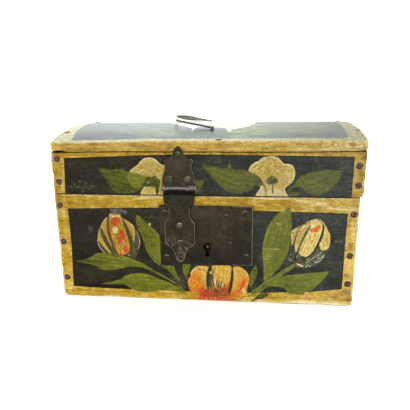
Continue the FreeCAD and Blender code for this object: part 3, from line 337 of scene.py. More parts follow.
# Lighter (+) and darker (-) patches of the front: x, z, half width, half height, amount. Most are wear and dirt; the
# light bands along the bottom edge are partly painted highlight, and the dark bands just under the top board partly
# painted shade.
PATCH = [
    (-141.5, 89.9, 3.8, 6.6, 0.8), (-140.9, 71.2, 2.1, 11.4, 0.5), (-143.8, 106.1, 2.8, 3.8, -0.35), (-131.6, 102.2, 4.3, 1.9, -0.9),
    (-126.5, 100.7, 2.4, 1.1, -0.8), (-146.4, 37.9, 2.8, 13.3, -0.25), (-142.2, 14.1, 2.4, 6.6, 0.3), (-107.2, 107.7, 13.3, 1.5, 0.35),
    (-61.3, 107.4, 9.5, 1.3, 0.45), (-71.7, 102.6, 17.1, 1.4, -0.3), (-87.9, 10.4, 28.5, 1.5, -0.15), (-131.8, 7.5, 5.7, 1.9, -0.4),
    (-147.6, 4.6, 2.8, 2.4, -0.6), (93.8, 107.7, 8.5, 1.9, 0.7), (110.7, 105.5, 11.4, 2.1, 0.5), (126.6, 100.4, 9.5, 1.5, 0.7),
    (79.9, 105.5, 5.7, 2.4, -0.4), (62.0, 104.3, 7.6, 2.4, -0.2), (67.5, 109.3, 9.5, 1.1, 0.4), (135.3, 108.8, 7.6, 1.9, 0.3),
    (144.7, 77.9, 2.4, 11.4, 0.3), (144.5, 62.2, 3.0, 4.3, -0.9), (143.6, 40.9, 2.8, 6.6, 0.45), (141.3, 32.4, 3.3, 2.8, -0.5),
    (142.0, 15.2, 4.8, 3.8, -0.8), (145.9, 7.8, 2.8, 3.8, -0.7), (135.2, 9.5, 4.8, 2.8, -0.5), (98.2, 2.9, 23.8, 2.1, 0.4),
    (66.2, 4.3, 9.5, 1.9, -0.3), (118.1, 1.3, 17.1, 1.2, 0.8), (83.4, -0.8, 19.0, 1.1, 0.8), (-142.6, 137.3, 2.4, 2.8, 0.35),
    (-145.9, 115.9, 3.8, 2.4, -0.2), (-147.7, 130.2, 1.5, 1.5, -1.0), (-137.4, 135.8, 0.9, 11.4, 0.5), (-139.6, 117.6, 1.1, 3.8, 0.7),
    (147.7, 136.1, 2.8, 3.8, -0.25), (151.1, 149.0, 1.3, 6.6, -0.8), (145.7, 114.8, 4.3, 2.1, -0.5), (144.0, 132.3, 1.2, 9.5, 0.5),
    (148.1, 130.5, 2.1, 3.3, -0.45), (-88.7, 152.0, 57.0, 1.8, -0.10), (27.4, 152.4, 66.5, 1.8, -0.25), (110.0, 152.8, 38.0, 1.8, -0.05),
    (-121.0, 148.9, 13.3, 0.6, 0.7), (-78.8, 149.4, 19.0, 0.5, 0.4), (92.0, 151.1, 38.0, 0.5, 0.4), (-118.3, 155.9, 17.1, 1.1, -0.6),
    (-88.0, 159.6, 9.5, 1.5, 0.55), (-74.3, 157.2, 7.6, 1.4, 0.6), (-65.3, 160.1, 4.8, 1.5, -0.7), (-52.7, 158.7, 7.6, 1.7, -0.5),
    (-39.1, 159.7, 5.7, 1.3, 0.2), (13.4, 159.3, 13.3, 1.4, -0.3), (36.8, 157.0, 11.4, 1.2, 0.4), (75.4, 159.1, 7.6, 1.4, -0.5),
    (91.8, 157.1, 8.5, 1.3, 0.6), (107.9, 159.4, 7.6, 1.5, -0.45), (118.7, 157.2, 6.6, 1.3, 0.5), (131.8, 159.9, 5.7, 1.9, 0.2),
    (138.8, 161.3, 4.8, 1.1, -0.6), (146.6, 161.8, 4.8, 2.4, 0.5), (55.2, 160.8, 7.6, 1.4, 0.5), (-105.8, 160.8, 13.3, 1.1, -0.3),
    (-126.8, 62.8, 13.3, 15.2, -0.25), (-115.1, 75.0, 2.8, 3.8, 0.9), (-122.5, 38.6, 11.4, 5.7, -0.3), (-97.3, 30.5, 11.4, 3.8, 0.3),
    (-109.4, 13.0, 13.3, 2.8, -0.35), (-59.9, 94.0, 5.7, 4.8, 0.25), (122.7, 89.5, 11.4, 9.5, 0.2), (131.4, 22.4, 7.6, 5.7, -0.1),
    (87.5, 26.1, 5.7, 4.8, -0.3), (73.1, 44.9, 5.7, 13.3, -0.35), (50.0, 38.0, 9.0, 14.0, -0.5), (-119.9, 138.0, 9.5, 7.6, 0.1), (-117.5, 119.9, 13.3, 3.8, 0.3),
    (101.7, 137.6, 19.0, 5.7, 0.1), (130.0, 118.9, 9.5, 3.8, 0.35), (29.3, 141.9, 19.0, 5.7, -0.1),
    (144.5, 74.0, 4.0, 30.0, 0.35), (145.0, 30.0, 4.0, 14.0, 0.30), (-80.0, 4.5, 50.0, 4.0, 0.12), (-142.0, 8.0, 8.0, 5.0, 0.25),
    (104.0, 3.5, 34.0, 4.0, 0.42), (52.0, 2.0, 10.0, 2.0, 0.3), (-149.2, 62.0, 1.5, 42.0, 0.9), (-149.0, 134.0, 1.4, 18.0, 0.9),
    (149.4, 60.0, 1.7, 44.0, 0.9), (66.0, 114.0, 13.0, 5.0, 0.5), (83.5, 133.0, 5.0, 7.0, 0.5), (-50.0, 112.0, 12.0, 3.0, 0.4),
    (-44.0, 146.0, 5.0, 3.0, 0.3), (52.0, 141.0, 4.0, 5.0, 0.3), (126.0, 158.5, 20.0, 2.6, 0.35), (60.0, 158.5, 30.0, 2.6, 0.2),
    (90.5, 73.0, 4.0, 10.0, -0.7), (97.0, 74.0, 4.0, 9.0, -0.4), (120.5, 71.0, 3.5, 10.0, -0.35), (105.0, 66.0, 4.0, 8.0, 0.15),
    (122.0, 106.0, 18.0, 3.0, 0.2), (100.0, 0.8, 45.0, 1.7, 0.8), (137.0, 1.0, 11.0, 2.2, 0.8), (-140.0, 153.8, 8.0, 1.1, -1.3),
]
# Darker patches of the front: x, z, half width, half height, amount.
DARK_PATCHES = [(-143.0, 62.0, 6.0, 34.0, 0.16), (148.0, 132.0, 7.0, 26.0, 0.12), (110.0, 153.0, 48.0, 1.8, 0.06), (-88.0, 70.0, 20.0, 24.0, 0.34),
       (74.0, 62.0, 13.0, 38.0, 0.16), (98.0, 22.0, 26.0, 13.0, 0.10), (10.0, 4.0, 26.0, 10.0, 0.16), (13.0, 11.0, 15.0, 7.0, 0.42), (-8.0, 18.0, 9.0, 15.0, 0.10), (17.0, 1.0, 17.0, 4.0, 0.14)]
# Lid top, x and y.
TOP_PANEL = [(-129.0, -80.5), (-98.6, -80.0), (-52.0, -79.2), (-1.7, -79.0), (63.5, -78.0), (136.4, -77.5), (138.2, -50.0), (139.3, 0.0), (138.5, 77.0), (0.0, 78.5), (-134.0, 77.5), (-140.0, 2.0), (-134.5, -51.0)]
TOP_FLOWER = [(-46, 5), (-41.8, -1.5), (-29.1, -22.2), (-15.0, -39.2), (-13.1, -56.8), (-10.2, -34.3), (4.5, -33.4), (19.5, -38.1), (25.1, -58.7), (27.2, -46.8), (35.0, -38.4), (43.0, -28.0), (50.2, -5.5), (50, 10), (44, 27), (34, 39), (28, 57), (22, 40), (7, 34), (-7, 36), (-14, 57), (-18, 40), (-33, 25)]
TOP_LEAF = {
    "TL1": (0.30, [(-20, -60), (-30, -67), (-52, -71), (-78, -64), (-101, -48), (-120, -26), (-98, -23), (-70, -28), (-48, -38), (-30, -48)]),
    "TL2": (0.26, [(-40, 2), (-62, -14), (-90, -16), (-124, 6), (-96, 20), (-66, 18)]),
    "TL3": (0.28, [(-22, 58), (-34, 66), (-58, 70), (-86, 60), (-110, 38), (-82, 33), (-56, 38), (-36, 48)]),
    "TR1": (0.34, [(29, -58), (44, -66), (68, -67), (96, -56), (118, -40), (128, -22), (100, -20), (74, -24), (54, -36), (40, -47)]),
    "TR2": (0.26, [(48, 2), (66, -10), (94, -14), (127, 8), (100, 22), (70, 18)]),
    "TR3": (0.28, [(30, 56), (44, 66), (70, 68), (98, 56), (118, 34), (90, 30), (62, 36), (42, 46)]),
}
FRONT_NAILS = [(-144.6, 99.6), (-144.4, 61.0), (-144.4, 21.1), (144.6, 95.2), (143.6, 53.4), (143.4, 23.8), (-142.8, 146.8), (-142.9, 123.8), (146.0, 141.6), (146.6, 123.1)]
TOP_NAILS = [(149.4, -49.8), (146.4, 40), (146.4, 83), (-143.2, -55.2), (-143, 38), (-143.4, 83.2), (16.4, -81.8), (-96, 82.6), (2, 82.4), (101, 82.8)]


def lid_shade_and_dark_patches(x, z):
    """Painted shade: how much the paint is darkened, more towards the lid, plus the darker patches."""
    d = np.interp(z, (44.0, 104.0, 130.0, 150.5, 152.6, 154.6, 160.0), (0.0, 0.29, 0.31, 0.32, 0.30, 0.345, 0.305))
    for cx, cz, rx, rz, a in DARK_PATCHES:
        d = d + a * np.exp(-((x - cx) / rx) ** 2 - ((z - cz) / rz) ** 2)
    return np.clip(d, 0.0, 0.8)


def shift(shapes, fn):
    """The same outlines moved on the face; leaves keep their tone."""
    out = {}
    for k, v in shapes.items():
        if isinstance(v, tuple):
            out[k] = (*v[:-1], [fn(*p) for p in v[-1]])
        else:
            out[k] = [fn(*p) for p in v]
    return out


def only(shapes, *keys):
    return {k: shapes[k] for k in keys}


def smooth_ring(pts, n=3):
    """Closed outline through its points, rounded between them."""
    p = np.array(pts, float)
    a, b, c, d = np.roll(p, 1, 0), p, np.roll(p, -1, 0), np.roll(p, -2, 0)
    out = []
    for k in range(n):
        t = k / n
        h = 0.5 * (2 * b + (c - a) * t + (2 * a - 5 * b + 4 * c - d) * t * t
                   + (3 * b - a - 3 * c + d) * t ** 3)
        out.append(0.5 * h + 0.5 * (b + (c - b) * t))
    return np.stack(out, 1).reshape(-1, 2)


def sd_ring(ring, u, v):
    """Signed distance to a closed outline, negative inside."""
    best = np.full(len(u), 1e9)
    inside = np.zeros(len(u), bool)
    for (x0, y0), (x1, y1) in zip(ring, np.roll(ring, -1, 0)):
        ex, ey = x1 - x0, y1 - y0
        l2 = ex * ex + ey * ey
        if l2 < 1e-12:
            continue
        t = np.clip(((u - x0) * ex + (v - y0) * ey) / l2, 0, 1)
        best = np.minimum(best, (u - x0 - t * ex) ** 2 + (v - y0 - t * ey) ** 2)
        if y0 != y1:
            inside ^= ((y0 > v) != (y1 > v)) & (u < (x1 - x0) * (v - y0) / (y1 - y0) + x0)
    d = np.sqrt(best)
    return np.where(inside, -d, d)


def sd_line(pts, u, v):
    best = np.full(len(u), 1e9)
    for (x0, y0), (x1, y1) in zip(pts[:-1], pts[1:]):
        ex, ey = x1 - x0, y1 - y0
        t = np.clip(((u - x0) * ex + (v - y0) * ey) / (ex * ex + ey * ey + 1e-12), 0, 1)
        best = np.minimum(best, (u - x0 - t * ex) ** 2 + (v - y0 - t * ey) ** 2)
    return np.sqrt(best)


FAR = 8.0


def near(ring, u, v, margin=FAR):
    lo, hi = ring.min(0) - margin, ring.max(0) + margin
    return np.nonzero((u > lo[0]) & (u < hi[0]) & (v > lo[1]) & (v < hi[1]))[0]


def union(shapes, u, v, sharp=False):
    out = np.full(len(u), FAR)
    for pts in shapes.values():
        ring = np.array(pts, float) if sharp else smooth_ring(pts)
        i = near(ring, u, v)
        if len(i):
            out[i] = np.minimum(out[i], sd_ring(ring, u[i], v[i]))
    return out


def stroke(field, half, pts, u, v):
    p = np.array(pts, float)
    i = near(p, u, v, 4.0)
    if len(i):
        field[i] = np.minimum(field[i], sd_line(p, u[i], v[i]) - half)


def art(u, v, panel, nails, cream=None, leaf=None, stem=None, hull=None, petal=None,
        orange=None, red=None, dark=None, white=None, scuff=None, strokes=(), haze=(), patch=(), owash=(), rwash=()):
    """Paint fields of one face from its outlines: distances in mm, and stroke
    coordinates along and across the nearest motif."""
    n = len(u)
    f = {k: np.full(n, FAR) for k in ("leaf", "cream", "hull", "petal", "orange", "red", "dark", "white", "scuff", "haze")}
    f["pan"] = np.clip(sd_ring(np.array(panel, float), u, v), -30, 30)
    f["su"], f["sw"], f["lv"] = u.copy(), v.copy(), np.zeros(n)
    for tone, pts in (leaf or {}).values():
        ring = smooth_ring(pts)
        i = near(ring, u, v)
        if not len(i):
            continue
        d = sd_ring(ring, u[i], v[i])
        c = ring.mean(0)
        w, e = np.linalg.eigh(np.cov((ring - c).T))
        a, b = e[:, 1], e[:, 0]
        if b[1] < 0:
            b = -b
        win = (d < f["leaf"][i]) | (d < 0)
        j = i[win]
        f["lv"][j] = tone
        pu, pv = u[j] - c[0], v[j] - c[1]
        f["su"][j] = pu * a[0] + pv * a[1] + 31.7 * tone
        f["sw"][j] = (pu * b[0] + pv * b[1]) / max(3.0, 2.0 * math.sqrt(w[0]))
        f["leaf"][i] = np.minimum(f["leaf"][i], d)
    for tone, half, pts in (stem or {}).values():
        p = np.array(pts, float)
        i = near(p, u, v)
        d = sd_line(p, u[i], v[i]) - half
        j = i[(d < 0.3)]
        f["lv"][j] = tone
        f["leaf"][i] = np.minimum(f["leaf"][i], d)
    for key, shapes in (("cream", cream), ("hull", hull), ("petal", petal), ("orange", orange), ("red", red), ("dark", dark), ("white", white)):
        if shapes:
            f[key] = union(shapes, u, v)
    for table in strokes:
        for key, rows in table.items():
            for half, pts in rows:
                stroke(f[key], half, pts, u, v)
    for half, pts in haze:
        stroke(f["haze"], half, pts, u, v)
    # tulip strokes follow the axis of the flower
    if hull:
        for pts in hull.values():
            ring = smooth_ring(pts)
            i = near(ring, u, v)
            d = sd_ring(ring, u[i], v[i])
            j = i[d < 0.6]
            c = ring.mean(0)
            f["su"][j] = v[j] - c[1] + 57.0
            f["sw"][j] = (u[j] - c[0]) / 14.0
    nd = np.full(n, 20.0)
    for x, z in nails:
        nd = np.minimum(nd, np.hypot(u - x, v - z))
    f["nail"] = nd
    if scuff:
        for x, z, r in scuff:
            f["scuff"] = np.minimum(f["scuff"], np.hypot(u - x, v - z) - r)
    tone = 0.22 * fbm(np.stack([u, v, 0 * u], 1), (38.0, 22.0, 9.0), 71, 2)
    for x, z, rx, rz, a in patch:
        i = np.nonzero((np.abs(u - x) < 2.3 * rx) & (np.abs(v - z) < 2.3 * rz))[0]
        tone[i] += a * np.exp(-((u[i] - x) / rx) ** 2 - ((v[i] - z) / rz) ** 2)
    f["tone"] = tone
    for key, rows in (("ow", owash), ("rw", rwash)):
        f[key] = np.zeros(n)
        for x, z, rx, rz, a in rows:
            f[key] += a * np.exp(-((u - x) / rx) ** 2 - ((v - z) / rz) ** 2)
    return f


# --------------------------------------------------------------- board meshes
def lines(a, b, step, fine=(0.3, 0.7, 1.3, 2.1)):
    n = max(1, int(round((b - a) / step)))
    s = set(np.round(np.linspace(a, b, n + 1), 4))
    if b - a > 2.2 * fine[-1]:
        for d in fine:
            s.add(round(a + d, 4))
            s.add(round(b - d, 4))
    out = sorted(s)
    keep = [out[0]]
    for t in out[1:]:
        if t - keep[-1] > 0.22 or t == out[-1]:
            keep.append(t)
    return np.array(keep)


def slab(box, step, r0, r1, seed, fine=2, coarse=4, dip=0.22, wave=0.3, chips=()):
    """Board with worn, uneven edges: the painted face (fine: 0 x-, 1 x+, 2 y-,
    3 y+, 4 z-, 5 z+) and the edges have a close grid, the face behind it a wide
    one.  Edges are rounded by a radius that wanders along them, and chips are
    knocked out at given points."""
    lo, hi = np.array(box[0::2], float), np.array(box[1::2], float)
    t = fine // 2
    a, b = [k for k in range(3) if k != t]
    ga, gb, gc = (lines(lo[k], hi[k], step[k]) for k in (a, b, t))
    if fine % 2:
        gc = gc[::-1]
    na, nb, nc = len(ga), len(gb), len(gc)
    ring = ([(i, 0) for i in range(na)] + [(na - 1, j) for j in range(1, nb)]
            + [(i, nb - 1) for i in range(na - 2, -1, -1)] + [(0, j) for j in range(nb - 2, 0, -1)])
    m = len(ring)
    sa, sb = sorted({*range(0, na, coarse), na - 1}), sorted({*range(0, nb, coarse), nb - 1})
    rg = np.array(ring)
    A, B = np.meshgrid(np.arange(na), np.arange(nb), indexing="ij")
    ia, ib, ic = [A.ravel()], [B.ravel()], [np.zeros(na * nb, int)]
    loops = [rg[:, 0] * nb + rg[:, 1]]
    for r in range(1, nc - 1):
        loops.append(na * nb + (r - 1) * m + np.arange(m))
        ia.append(rg[:, 0])
        ib.append(rg[:, 1])
        ic.append(np.full(m, r))
    base = na * nb + (nc - 2) * m
    CA, CB = np.meshgrid(np.array(sa), np.array(sb), indexing="ij")
    ia.append(CA.ravel())
    ib.append(CB.ravel())
    ic.append(np.full(CA.size, nc - 1))
    ia, ib, ic = np.concatenate(ia), np.concatenate(ib), np.concatenate(ic)
    p = np.zeros((len(ia), 3))
    p[:, a], p[:, b], p[:, t] = ga[ia], gb[ib], gc[ic]

    def grid(start, n, k):
        q = np.arange(n * k).reshape(n, k) + start
        return np.stack([q[:-1, :-1], q[1:, :-1], q[1:, 1:], q[:-1, 1:]], -1).reshape(-1, 4)

    quads = [grid(0, na, nb), grid(base, len(sa), len(sb))]
    for r in range(nc - 2):
        f0, f1 = loops[r], loops[r + 1]
        quads.append(np.stack([f0, np.roll(f0, -1), np.roll(f1, -1), f1], 1))
    at_a, at_b = {v: k for k, v in enumerate(sa)}, {v: k for k, v in enumerate(sb)}
    stops = [k for k, (i, j) in enumerate(ring) if i in at_a and j in at_b]
    back = {k: base + at_a[ring[k][0]] * len(sb) + at_b[ring[k][1]] for k in stops}
    strip = []
    for k0, k1 in zip(stops, stops[1:] + [stops[0] + m]):
        strip.append([int(loops[-1][k % m]) for k in range(k0, k1 + 1)] + [back[k1 % m], back[k0]])

    n1 = fbm(p, 14.0, seed, 3)
    n2 = vnoise(p, 6.5, seed + 5)
    rad = r0 * (1 + 0.55 * n1) + r1 * np.clip((n2 - 0.35) / 0.6, 0, 1) ** 1.5
    rad = np.minimum(rad, 0.42 * (hi - lo).min())[:, None]
    c = np.clip(p, lo + rad, hi - rad)
    d = p - c
    ln = np.linalg.norm(d, axis=1, keepdims=True)
    out = np.where(ln > 1e-9, c + d / np.maximum(ln, 1e-9) * np.minimum(ln, rad), p)
    # shallow plane marks and warps, inwards only
    mid = (lo + hi) / 2
    on = np.abs(np.abs(p - mid) - (hi - lo) / 2) < 1e-6
    amt = dip * (0.5 + 0.5 * fbm(p, (60.0, 40.0, 22.0), seed + 9, 2)) + 0.05 * (0.5 + 0.5 * vnoise(p, (14, 9, 2.2), seed + 11))
    inset = np.where(on, -np.sign(p - mid), 0.0)
    out = out + inset * amt[:, None] * (on.sum(1) == 1)[:, None]
    # edges that wander
    for k in (a, b):
        for side in (-1, 1):
            gap = np.abs(p[:, k] - (lo[k] if side < 0 else hi[k]))
            w = np.clip(1 - (gap / 6.0) ** 2, 0, 1)
            out[:, k] -= side * wave * w * (0.5 + 0.5 * fbm(p, (21.0, 21.0, 21.0), seed + 21 + 3 * k + side, 3))
    worn = np.zeros(len(p))
    for cx, cy, cz, r, depth, way in chips:
        dd = np.linalg.norm((p - np.array([cx, cy, cz])) * (1 + 0.3 * vnoise(p, 2.0, seed + 31)[:, None]), axis=1)
        w = np.clip(1 - (dd / r) ** 2, 0, 1)
        w = w * w * (3 - 2 * w)
        g = np.array(way, float)
        out += (g / np.linalg.norm(g))[None] * (depth * w * (1 + 0.35 * vnoise(p, 1.6, seed + 33)))[:, None]
        worn = np.maximum(worn, w)
    return np.clip(out, lo, hi), np.concatenate(quads), strip, p, worn


def mesh_object(name, co, quads, strip=()):
    me = bpy.data.meshes.new(name)
    total = np.concatenate([np.full(len(quads), 4), np.array([len(f) for f in strip], int)]).astype(np.int32)
    index = np.concatenate([quads.ravel()] + [np.array(f) for f in strip]).astype(np.int32)
    me.vertices.add(len(co))
    me.vertices.foreach_set("co", (np.asarray(co, np.float32) * MM).ravel())
    me.loops.add(len(index))
    me.polygons.add(len(total))
    me.polygons.foreach_set("loop_start", np.concatenate([[0], np.cumsum(total)[:-1]]).astype(np.int32))
    me.polygons.foreach_set("loop_total", total)
    me.loops.foreach_set("vertex_index", index)
    me.update(calc_edges=True)
    me.validate()
    bm = bmesh.new()
    bm.from_mesh(me)
    bmesh.ops.recalc_face_normals(bm, faces=bm.faces)
    bm.to_mesh(me)
    bm.free()
    me.polygons.foreach_set("use_smooth", np.ones(len(me.polygons), bool))
    ob = bpy.data.objects.new(name, me)
    SCN.collection.objects.link(ob)
    return ob


def coords(ob):
    co = np.zeros(len(ob.data.vertices) * 3, np.float32)
    ob.data.vertices.foreach_get("co", co)
    return co.reshape(-1, 3).astype(float) / MM


def put(ob, fields):
    for k, a in fields.items():
        at = ob.data.attributes.get(k) or ob.data.attributes.new(k, "FLOAT", "POINT")
        at.data.foreach_set("value", np.asarray(a, np.float32))


def box_mesh(name, box):
    bm = bmesh.new()
    r = bmesh.ops.create_cube(bm, size=1.0)
    for v in r["verts"]:
        v.co = Vector(((box[0] + box[1]) / 2 + v.co.x * (box[1] - box[0]),
                       (box[2] + box[3]) / 2 + v.co.y * (box[3] - box[2]),
                       (box[4] + box[5]) / 2 + v.co.z * (box[5] - box[4]))) * MM
    me = bpy.data.meshes.new(name)
    bm.to_mesh(me)
    bm.free()
    ob = bpy.data.objects.new(name, me)
    SCN.collection.objects.link(ob)
    return ob


def carve(ob, boxes):
    """Cuts box shaped recesses out of a board."""
    for n, b in enumerate(boxes):
        cutter = box_mesh("cutter%d" % n, b)
        m = ob.modifiers.new("cut", "BOOLEAN")
        m.operation, m.solver, m.object = "DIFFERENCE", "EXACT", cutter
        dg = bpy.context.evaluated_depsgraph_get()
        me = bpy.data.meshes.new_from_object(ob.evaluated_get(dg))
        ob.modifiers.clear()
        old = ob.data
        ob.data = me
        bpy.data.meshes.remove(old)
        bpy.data.objects.remove(cutter)
    ob.data.polygons.foreach_set("use_smooth", np.ones(len(ob.data.polygons), bool))


def edge_field(p, box, skip=()):
    """Distance along the surface to the nearest worn edge of the board."""
    lo, hi = np.array(box[0::2], float), np.array(box[1::2], float)
    d = np.stack([np.abs(p[:, 0] - lo[0]), np.abs(p[:, 0] - hi[0]), np.abs(p[:, 1] - lo[1]),
                  np.abs(p[:, 1] - hi[1]), np.abs(p[:, 2] - lo[2]), np.abs(p[:, 2] - hi[2])], 1)
    for k in skip:
        d[:, k] = 99.0
    d.sort(1)
    return np.minimum(d[:, 1], 20.0)


# fields that a face without motifs still needs
BLANK = dict(leaf=FAR, cream=FAR, hull=FAR, petal=FAR, orange=FAR, red=FAR, dark=FAR, white=FAR, scuff=FAR, haze=FAR, lv=0.0, ow=0.0, rw=0.0)


def read(ob, name):
    a = np.zeros(len(ob.data.vertices), np.float32)
    ob.data.attributes[name].data.foreach_get("value", a)
    return a.astype(float)


def board(name, body, node, box, step, seed, paint, bare, r0=0.7, r1=1.3, warp=None,
          unwarp=None, cuts=(), skip=(), seam=None, mat=None, fine=2, coarse=4, wave=0.3, chips=()):
    co, quads, strip, flat, worn = slab(box, step, r0, r1, seed, fine, coarse, wave=wave, chips=chips)
    if warp:
        co = warp(co)
    ob = mesh_object(name, co, quads, strip)
    put(ob, {"edge": edge_field(flat, box, skip) - 1.2 * worn, "seam": seam(flat) if seam else np.full(len(flat), 20.0)})
    if cuts:
        carve(ob, cuts)
    p = coords(ob)
    q = unwarp(p) if unwarp else p
    f = paint(p)
    f["bare"] = bare(p, q)
    put(ob, f)
    if mat:
        ob.data.materials.append(mat)
    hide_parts(node)
    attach(ob, body)
    return ob


# --------------------------------------------------------------- node materials
def lin(r, g, b):
    def f(c):
        c /= 255.0
        return c / 12.92 if c <= 0.04045 else ((c + 0.055) / 1.055) ** 2.4
    return (f(r), f(g), f(b), 1.0)


class Graph:
    """Small helper that writes a node tree from expressions."""

    def __init__(self, name):
        self.mat = bpy.data.materials.new(name)
        self.mat.use_nodes = True
        self.t = self.mat.node_tree
        self.t.nodes.clear()
        self.out = self.t.nodes.new("ShaderNodeOutputMaterial")
        self.bsdf = self.t.nodes.new("ShaderNodeBsdfPrincipled")
        self.t.links.new(self.bsdf.outputs[0], self.out.inputs[0])
        self._attr = {}
        tc = self.t.nodes.new("ShaderNodeTexCoord")
        mm = self.t.nodes.new("ShaderNodeVectorMath")
        mm.operation = "SCALE"
        mm.inputs["Scale"].default_value = 1000.0
        self.t.links.new(tc.outputs["Object"], mm.inputs[0])
        self.p = mm.outputs[0]
        sx = self.t.nodes.new("ShaderNodeSeparateXYZ")
        self.t.links.new(self.p, sx.inputs[0])
        self.x, self.y, self.z = sx.outputs

    def _in(self, sock, v):
        if isinstance(v, bpy.types.NodeSocket):
            self.t.links.new(v, sock)
        elif v is not None:
            sock.default_value = v

    def math(self, op, a, b=None, c=None, clamp=False):
        n = self.t.nodes.new("ShaderNodeMath")
        n.operation, n.use_clamp = op, clamp
        for s, v in zip(n.inputs, (a, b, c)):
            self._in(s, v)
        return n.outputs[0]

    def add(self, a, b): return self.math("ADD", a, b)
    def sub(self, a, b): return self.math("SUBTRACT", a, b)
    def mul(self, a, b): return self.math("MULTIPLY", a, b)
    def mn(self, a, b): return self.math("MINIMUM", a, b)
    def mx(self, a, b): return self.math("MAXIMUM", a, b)
    def inv(self, a): return self.math("SUBTRACT", 1.0, a, clamp=True)

    def step(self, v, a, b, lo=0.0, hi=1.0):
        n = self.t.nodes.new("ShaderNodeMapRange")
        n.interpolation_type = "SMOOTHSTEP"
        self._in(n.inputs["Value"], v)
        n.inputs["From Min"].default_value = a
        n.inputs["From Max"].default_value = b
        n.inputs["To Min"].default_value = lo
        n.inputs["To Max"].default_value = hi
        return n.outputs[0]

    def ins(self, d, soft):
        """1 inside a signed distance, 0 outside."""
        return self.step(d, -soft, soft, 1.0, 0.0)

    def vec(self, x, y, z):
        n = self.t.nodes.new("ShaderNodeCombineXYZ")
        for s, v in zip(n.inputs, (x, y, z)):
            self._in(s, v)
        return n.outputs[0]

    def scaled(self, v, s):
        n = self.t.nodes.new("ShaderNodeVectorMath")
        n.operation = "MULTIPLY"
        self._in(n.inputs[0], v)
        n.inputs[1].default_value = s
        return n.outputs[0]

    def noise(self, v, size, detail=3.0, rough=0.55, dist=0.0, stretch=None, seed=0.0):
        """Noise with features of about size mm, from 0 to 1."""
        if stretch:
            v = self.scaled(v, stretch)
        if seed:
            a = self.t.nodes.new("ShaderNodeVectorMath")
            a.operation = "ADD"
            self._in(a.inputs[0], v)
            a.inputs[1].default_value = (seed * 13.1, seed * 7.7, seed * 3.9)
            v = a.outputs[0]
        n = self.t.nodes.new("ShaderNodeTexNoise")
        self._in(n.inputs["Vector"], v)
        n.inputs["Scale"].default_value = 1.0 / size
        n.inputs["Detail"].default_value = detail
        n.inputs["Roughness"].default_value = rough
        n.inputs["Distortion"].default_value = dist
        return n.outputs["Fac"]

    def cells(self, v, size, feature="DISTANCE_TO_EDGE", stretch=None):
        if stretch:
            v = self.scaled(v, stretch)
        n = self.t.nodes.new("ShaderNodeTexVoronoi")
        n.feature = feature
        self._in(n.inputs["Vector"], v)
        n.inputs["Scale"].default_value = 1.0 / size
        return n.outputs["Distance"]

    def ramp(self, fac, stops):
        n = self.t.nodes.new("ShaderNodeValToRGB")
        self._in(n.inputs[0], fac)
        el = n.color_ramp.elements
        el[0].position, el[0].color = stops[0]
        el[1].position, el[1].color = stops[-1]
        for pos, col in stops[1:-1]:
            e = el.new(pos)
            e.color = col
        return n.outputs[0]

    def mix(self, fac, a, b, blend="MIX"):
        n = self.t.nodes.new("ShaderNodeMix")
        n.data_type, n.blend_type, n.clamp_factor = "RGBA", blend, True
        self._in(n.inputs[0], fac)
        self._in(n.inputs[6], a)
        self._in(n.inputs[7], b)
        return n.outputs[2]

    def mixf(self, fac, a, b):
        n = self.t.nodes.new("ShaderNodeMix")
        n.data_type = "FLOAT"
        self._in(n.inputs[0], fac)
        self._in(n.inputs[2], a)
        self._in(n.inputs[3], b)
        return n.outputs[0]

    def attr(self, name):
        if name not in self._attr:
            n = self.t.nodes.new("ShaderNodeAttribute")
            n.attribute_type, n.attribute_name = "GEOMETRY", name
            self._attr[name] = n.outputs["Fac"]
        return self._attr[name]

    def bump(self, height, dist, strength=1.0, normal=None):
        n = self.t.nodes.new("ShaderNodeBump")
        n.inputs["Strength"].default_value = strength
        n.inputs["Distance"].default_value = dist * MM
        self._in(n.inputs["Height"], height)
        if normal is not None:
            self.t.links.new(normal, n.inputs["Normal"])
        return n.outputs[0]

    def shade(self, color, rough, normal=None, metal=0.0, spec=0.5):
        self._in(self.bsdf.inputs["Base Color"], color)
        self._in(self.bsdf.inputs["Roughness"], rough)
        self._in(self.bsdf.inputs["Metallic"], metal)
        self.bsdf.inputs["Specular IOR Level"].default_value = spec
        if normal is not None:
            self.t.links.new(normal, self.bsdf.inputs["Normal"])
        return self.mat


def wood_color(g, seed=0.0):
    """Aged beech: long grain along X with pores and darker years."""
    grain = g.noise(g.p, 1.0, 4, 0.6, 0.4, (0.018, 0.30, 0.42), seed + 1)
    year = g.noise(g.p, 1.0, 2, 0.5, 0.8, (0.006, 0.07, 0.10), seed + 2)
    pore = g.noise(g.p, 1.0, 1, 0.5, 0.0, (0.16, 2.2, 2.4), seed + 3)
    blot = g.noise(g.p, 34.0, 3, 0.6, 0.0, None, seed + 4)
    c = g.ramp(g.add(g.mul(grain, 0.6), g.mul(year, 0.4)),
               [(0.30, lin(112, 80, 48)), (0.48, lin(158, 120, 78)), (0.66, lin(192, 156, 108))])
    c = g.mix(g.step(pore, 0.62, 0.72, 0.0, 0.5), c, lin(74, 50, 30))
    c = g.mix(g.step(blot, 0.45, 0.75, 0.0, 0.55), c, lin(96, 72, 48))
    return c, grain, pore


